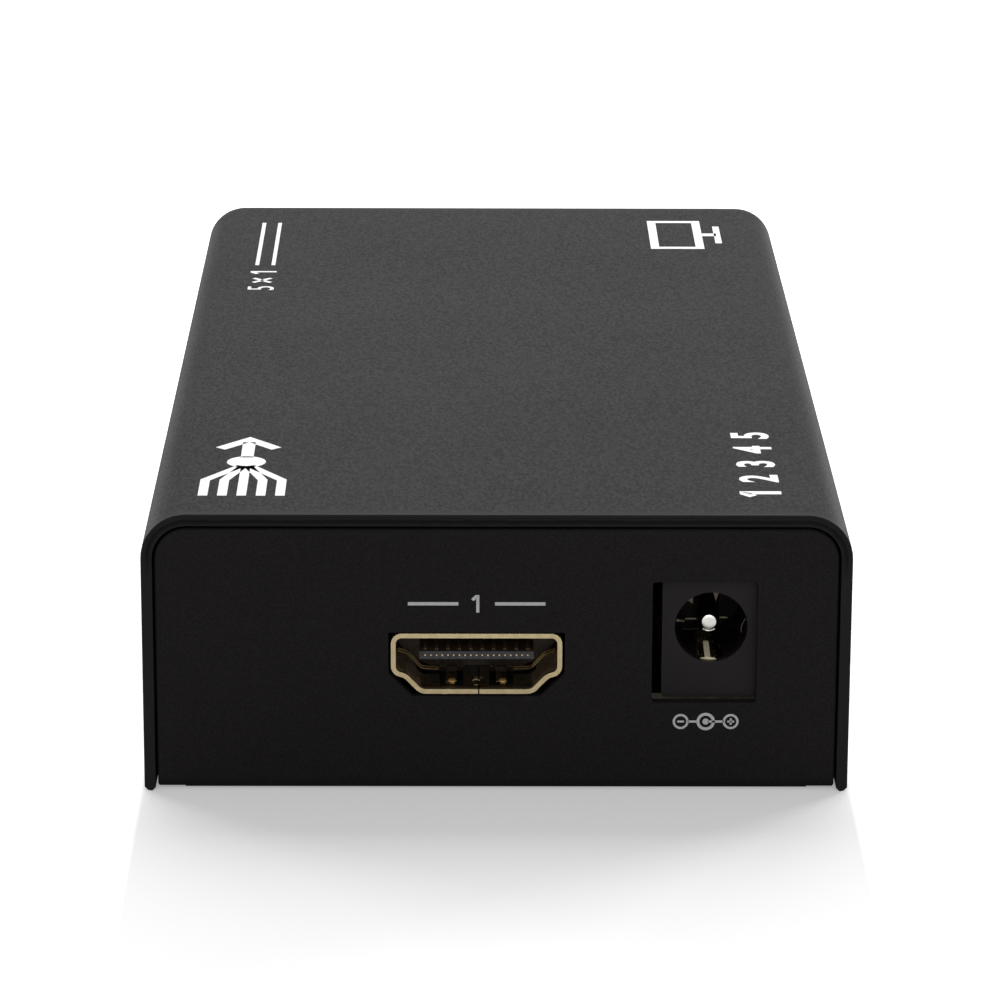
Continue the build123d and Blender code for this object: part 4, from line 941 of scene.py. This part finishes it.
def crowned_strip(line, aside, half, sheet, crown, columns=12):
    """A strip carried along a line of (depth, height): its middle stands crown proud of both edges.
    Its section is the skin's arc, then the same arc a sheet's thickness lower, taken back."""
    line = np.array(line) * mm
    ahead = np.gradient(line, axis=0)
    ahead /= np.linalg.norm(ahead, axis=1)[:, None]
    proud = np.stack([-ahead[:, 1], ahead[:, 0]], axis=1)
    share = np.linspace(-1, 1, columns + 1)
    spread = np.concatenate([share, share[::-1]]) * half + aside
    rise = np.concatenate([crown * (1 - share ** 2) - crown, crown * (1 - share[::-1] ** 2) - crown - sheet])
    depth = line[:, :1] + proud[:, :1] * rise
    height = line[:, 1:] + proud[:, 1:] * rise
    points = np.stack([np.broadcast_to(spread, depth.shape), depth, height], axis=-1)
    count = len(spread)
    last = (len(line) - 1) * count
    caps = [list(range(count)), list(range(last, last + count))[::-1]]
    return points.reshape(-1, 3) + mouth, wrapped_quads(len(line), count) + caps


def leaf_highlight_faces(middles, normals):
    """Which faces of the leaf take the painted highlight: its tip, and a middle strip that stands for the
    pin's reflection.
    """
    aside, inward = middles[:, 0] - mouth[0] - leaf_aside, middles[:, 1] - face_y
    on_highlight = (np.abs(aside) < highlight_half) & (inward < highlight_end) & (normals[:, 2] > 0.5)
    return on_highlight | (inward < tip_end)


strip = crowned_strip(leaf_line, leaf_aside, leaf_half, leaf_sheet, leaf_crown)
leaf = closed_piece("inlet_spring", [strip])
coat(leaf, spring_bronze, painted_glint_bronze, rule=leaf_highlight_faces)
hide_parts("jack_sleeve_spring")
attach(leaf, "box")

# Painted glints: thin tubes and wedges stand in for glints and reflections seen in the bore; they are no
# parts of the inlet.
slot_glints = [
    (0.1, [(-2.62, 7.0, -1.7), (-2.32, 7.9, -2.02), (-1.98, 8.7, -2.33)]),
    (0.08, [(-1.82, 9.5, -2.35), (-1.3, 9.5, -2.35), (-0.84, 9.5, -2.35)]),
    (0.07, [(1.02, 9.5, -2.23), (1.5, 9.5, -2.23), (1.98, 9.5, -2.23)]),
    (0.028, [(-2.22, 6.75, -2.4), (-1.6, 6.75, -2.43), (-0.7, 6.75, -2.38)]),
    (0.035, [(3.04, 1.0, 0.45), (2.84, 1.1, 0.05), (2.72, 1.2, -0.4), (2.74, 1.3, -0.9)]),
]
glint_wedges = [
    ((-2.08, 0.3, 2.38), (-1.62, 0.3, 2.7), (-1.6, 0.8, 1.9)),
    ((0.14, 0.45, 3.14), (0.66, 0.45, 3.08), (0.42, 0.95, 2.1)),
]
wedge_faces = [(0, 1, 2), (5, 4, 3), (0, 3, 4, 1), (1, 4, 5, 2), (2, 5, 3, 0)]
wedge_sheet, dim_glint_to, thin_line, thin_half = 0.00012, 0.003, 0.00675, 0.00005


def dim_glint_faces(middles, normals):
    """Which glint faces take the dimmer painted glint: those near the mouth, and the thin line in the slot.
    """
    inward = middles[:, 1] - face_y
    return (inward < dim_glint_to) | (np.abs(inward - thin_line) < thin_half)


glint_parts = [tube(mouth + np.array(points) * mm, half * mm) for half, points in slot_glints]
for corners in glint_wedges:
    front = mouth + np.array(corners) * mm
    glint_parts.append((np.vstack([front, front + wedge_sheet * along_y]), wedge_faces))
edges = closed_piece("inlet_painted_glints", glint_parts)
coat(edges, painted_glint_bronze, dim_painted_glint_bronze, rule=dim_glint_faces)
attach(edges, "box")

# Lamps: five water-clear ones in a black holder, their tips in round holes of the long side.
# Each is cast in one piece: a flange, a barrel and a domed tip.
lens_clear, tree = bare_material("lamp_lens")
haze = put(tree, "Group", {"Color": (0.62, 0.66, 0.7, 1.0), "Roughness": 0.08}, node_tree=moulded)
shader = put(tree, "BsdfPrincipled", {
    "Base Color": haze.outputs["Color"], "Roughness": haze.outputs["Roughness"],
    "Transmission Weight": 0.55, "IOR": 1.5,
})
put(tree, "OutputMaterial", {"Surface": shader.outputs[0]})

lamp_radius, lamp_dome, flange_radius, flange_sheet = 0.0015, 0.001, 0.0019, 0.001
for n in range(5):
    low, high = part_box(f"lamp_{n + 1}")
    middle = (low.x, (low.y + high.y) / 2, (low.z + high.z) / 2)
    barrel = high.x - low.x - lamp_dome
    rings = [
        (lamp_radius * math.sin(a), barrel + lamp_dome * math.cos(a)) for a in np.radians(range(0, 91, 9))
    ]
    rings += [(lamp_radius, flange_sheet), (flange_radius, flange_sheet), (flange_radius, 0.0), (0.0, 0.0)]
    lens_piece = closed_piece(f"lamp_lens_{n + 1}", [revolved(rings, 48, middle, along_y, to_top, to_right)])
    coat(lens_piece, lens_clear)
    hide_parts(f"lamp_{n + 1}")
    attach(lens_piece, "box")

# Select button: a satin black cap, a little crowned, with a flange that holds it behind the wall.
# It presses the switch's plunger; both move together.
button_black = finish(
    "button_moulding", moulded, {"Color": (0.014, 0.014, 0.0145, 1.0), "Roughness": 0.38},
    bump=0.000001, gloss=0.4,
)
low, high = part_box("select_button")
button_middle = (low.x, (low.y + high.y) / 2, (low.z + high.z) / 2)
cap_radius, cap_round, cap_crown, cap_flat = 0.003, 0.0006, 0.00015, 0.8
cap_proud, wall_sheet, flange_gap, flange_sheet = 0.0008, 0.001, 0.0004, 0.0009
flange_radius, neck_radius, seat_radius, seat_depth = 0.0042, 0.0026, 0.00178, 0.00063
reach = high.x - low.x
flange_front = reach - cap_proud - wall_sheet - flange_gap
flange_back = flange_front - flange_sheet
cap_rings = [(cap_radius * share, reach - cap_crown * share ** 2) for share in np.linspace(0, cap_flat, 13)]
rounding_x, rounding_y = cap_radius - cap_round, reach - cap_crown - cap_round
cap_rings += [
    (rounding_x + cap_round * math.sin(a), rounding_y + cap_round * math.cos(a))
    for a in np.radians(range(10, 91, 10))
]
cap_rings += [
    (cap_radius, flange_front), (flange_radius, flange_front), (flange_radius, flange_back),
    (neck_radius, flange_back), (neck_radius, 0.0), (seat_radius, 0.0), (seat_radius, seat_depth),
    (0.0, seat_depth),
]
button = closed_piece("select_cap", [revolved(cap_rings, 64, button_middle, along_y, to_top, to_right)])
coat(button, button_black)
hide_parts("select_button")
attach(button, "select_key")
dress(black_moulding, "select_switch", "select_plunger", "lamp_holder", "capacitor_bases")

# Remote window and sensor: smoked acrylic in the wall, dark epoxy behind it.
# The window is smoother than the coat round it and shows a little of the room.
window_smoke = finish(
    "dark_window", moulded, {"Color": (0.012, 0.004, 0.005, 1.0), "Roughness": 0.07},
    bump=0.0000002, gloss=0.22,
)
sensor_epoxy = finish(
    "sensor_moulding", moulded, {"Color": (0.02, 0.012, 0.016, 1.0), "Roughness": 0.22}, bump=0.0000005,
)
window = finished_copy("smoked_window", "remote_window", 0.00012)
coat(window, window_smoke)
dress(sensor_epoxy, "remote_sensor")

# Board: green mask over glass fibre, on four brass pillars, with its chips, cans and small parts.
# Its sawn edge, pale and speckled, shows through the inlet's slot.
board_green = finish(
    "solder_mask", moulded,
    {"Color": (0.0011, 0.0052, 0.0026, 1.0), "Roughness": 0.4, "Grains per m": 1800.0},
    bump=0.000003, gloss=0.1,
)
board_edge = finish(
    "board_edge", moulded,
    {
        "Color": (0.075, 0.07, 0.042, 1.0), "Roughness": 0.6,
        "Clouds per m": 700.0, "Darkest": 0.5, "Palest": 1.4,
    },
    bump=0.000006,
)
panel = finished_copy("circuit_board", "board", 0)
face_up = 0.5
coat(panel, board_green, board_edge, rule=lambda middles, normals: np.abs(normals[:, 2]) < face_up)
for name, colour, rough, grains, bump, nodes in (
    ("chip_epoxy", (0.022, 0.022, 0.024), 0.5, 6000.0, 0.000003, (
        "switch_chip", "controller_chip", "regulator", "surge_arrays",
    )),
    ("ferrite", (0.07, 0.07, 0.075), 0.6, 3000.0, 0.00001, ("power_inductor",)),
    ("ceramic_chip", (0.4, 0.3, 0.2), 0.5, 6000.0, 0.000003, ("chip_parts",)),
):
    look = {"Color": (*colour, 1.0), "Roughness": rough, "Grains per m": grains}
    dress(finish(name, moulded, look, bump), *nodes)
for name, colour, dull, rough, nodes in (
    ("tinned_lead", (0.78, 0.78, 0.78), (0.6, 0.6, 0.6), 0.3, (
        "switch_chip_leads", "controller_leads", "regulator_leads",
        "lamp_leads", "remote_sensor_leads", "select_switch_legs",
    )),
    ("can_aluminium", (0.86, 0.86, 0.87), (0.74, 0.74, 0.75), 0.25, ("input_capacitor", "output_capacitor")),
    ("can_steel", (0.72, 0.71, 0.69), (0.6, 0.59, 0.57), 0.3, ("crystal",)),
    ("pillar_brass", (0.76, 0.72, 0.6), (0.62, 0.55, 0.4), 0.28, ("board_pillars",)),
):
    dress(plate(name, colour, dull, rough), *nodes)
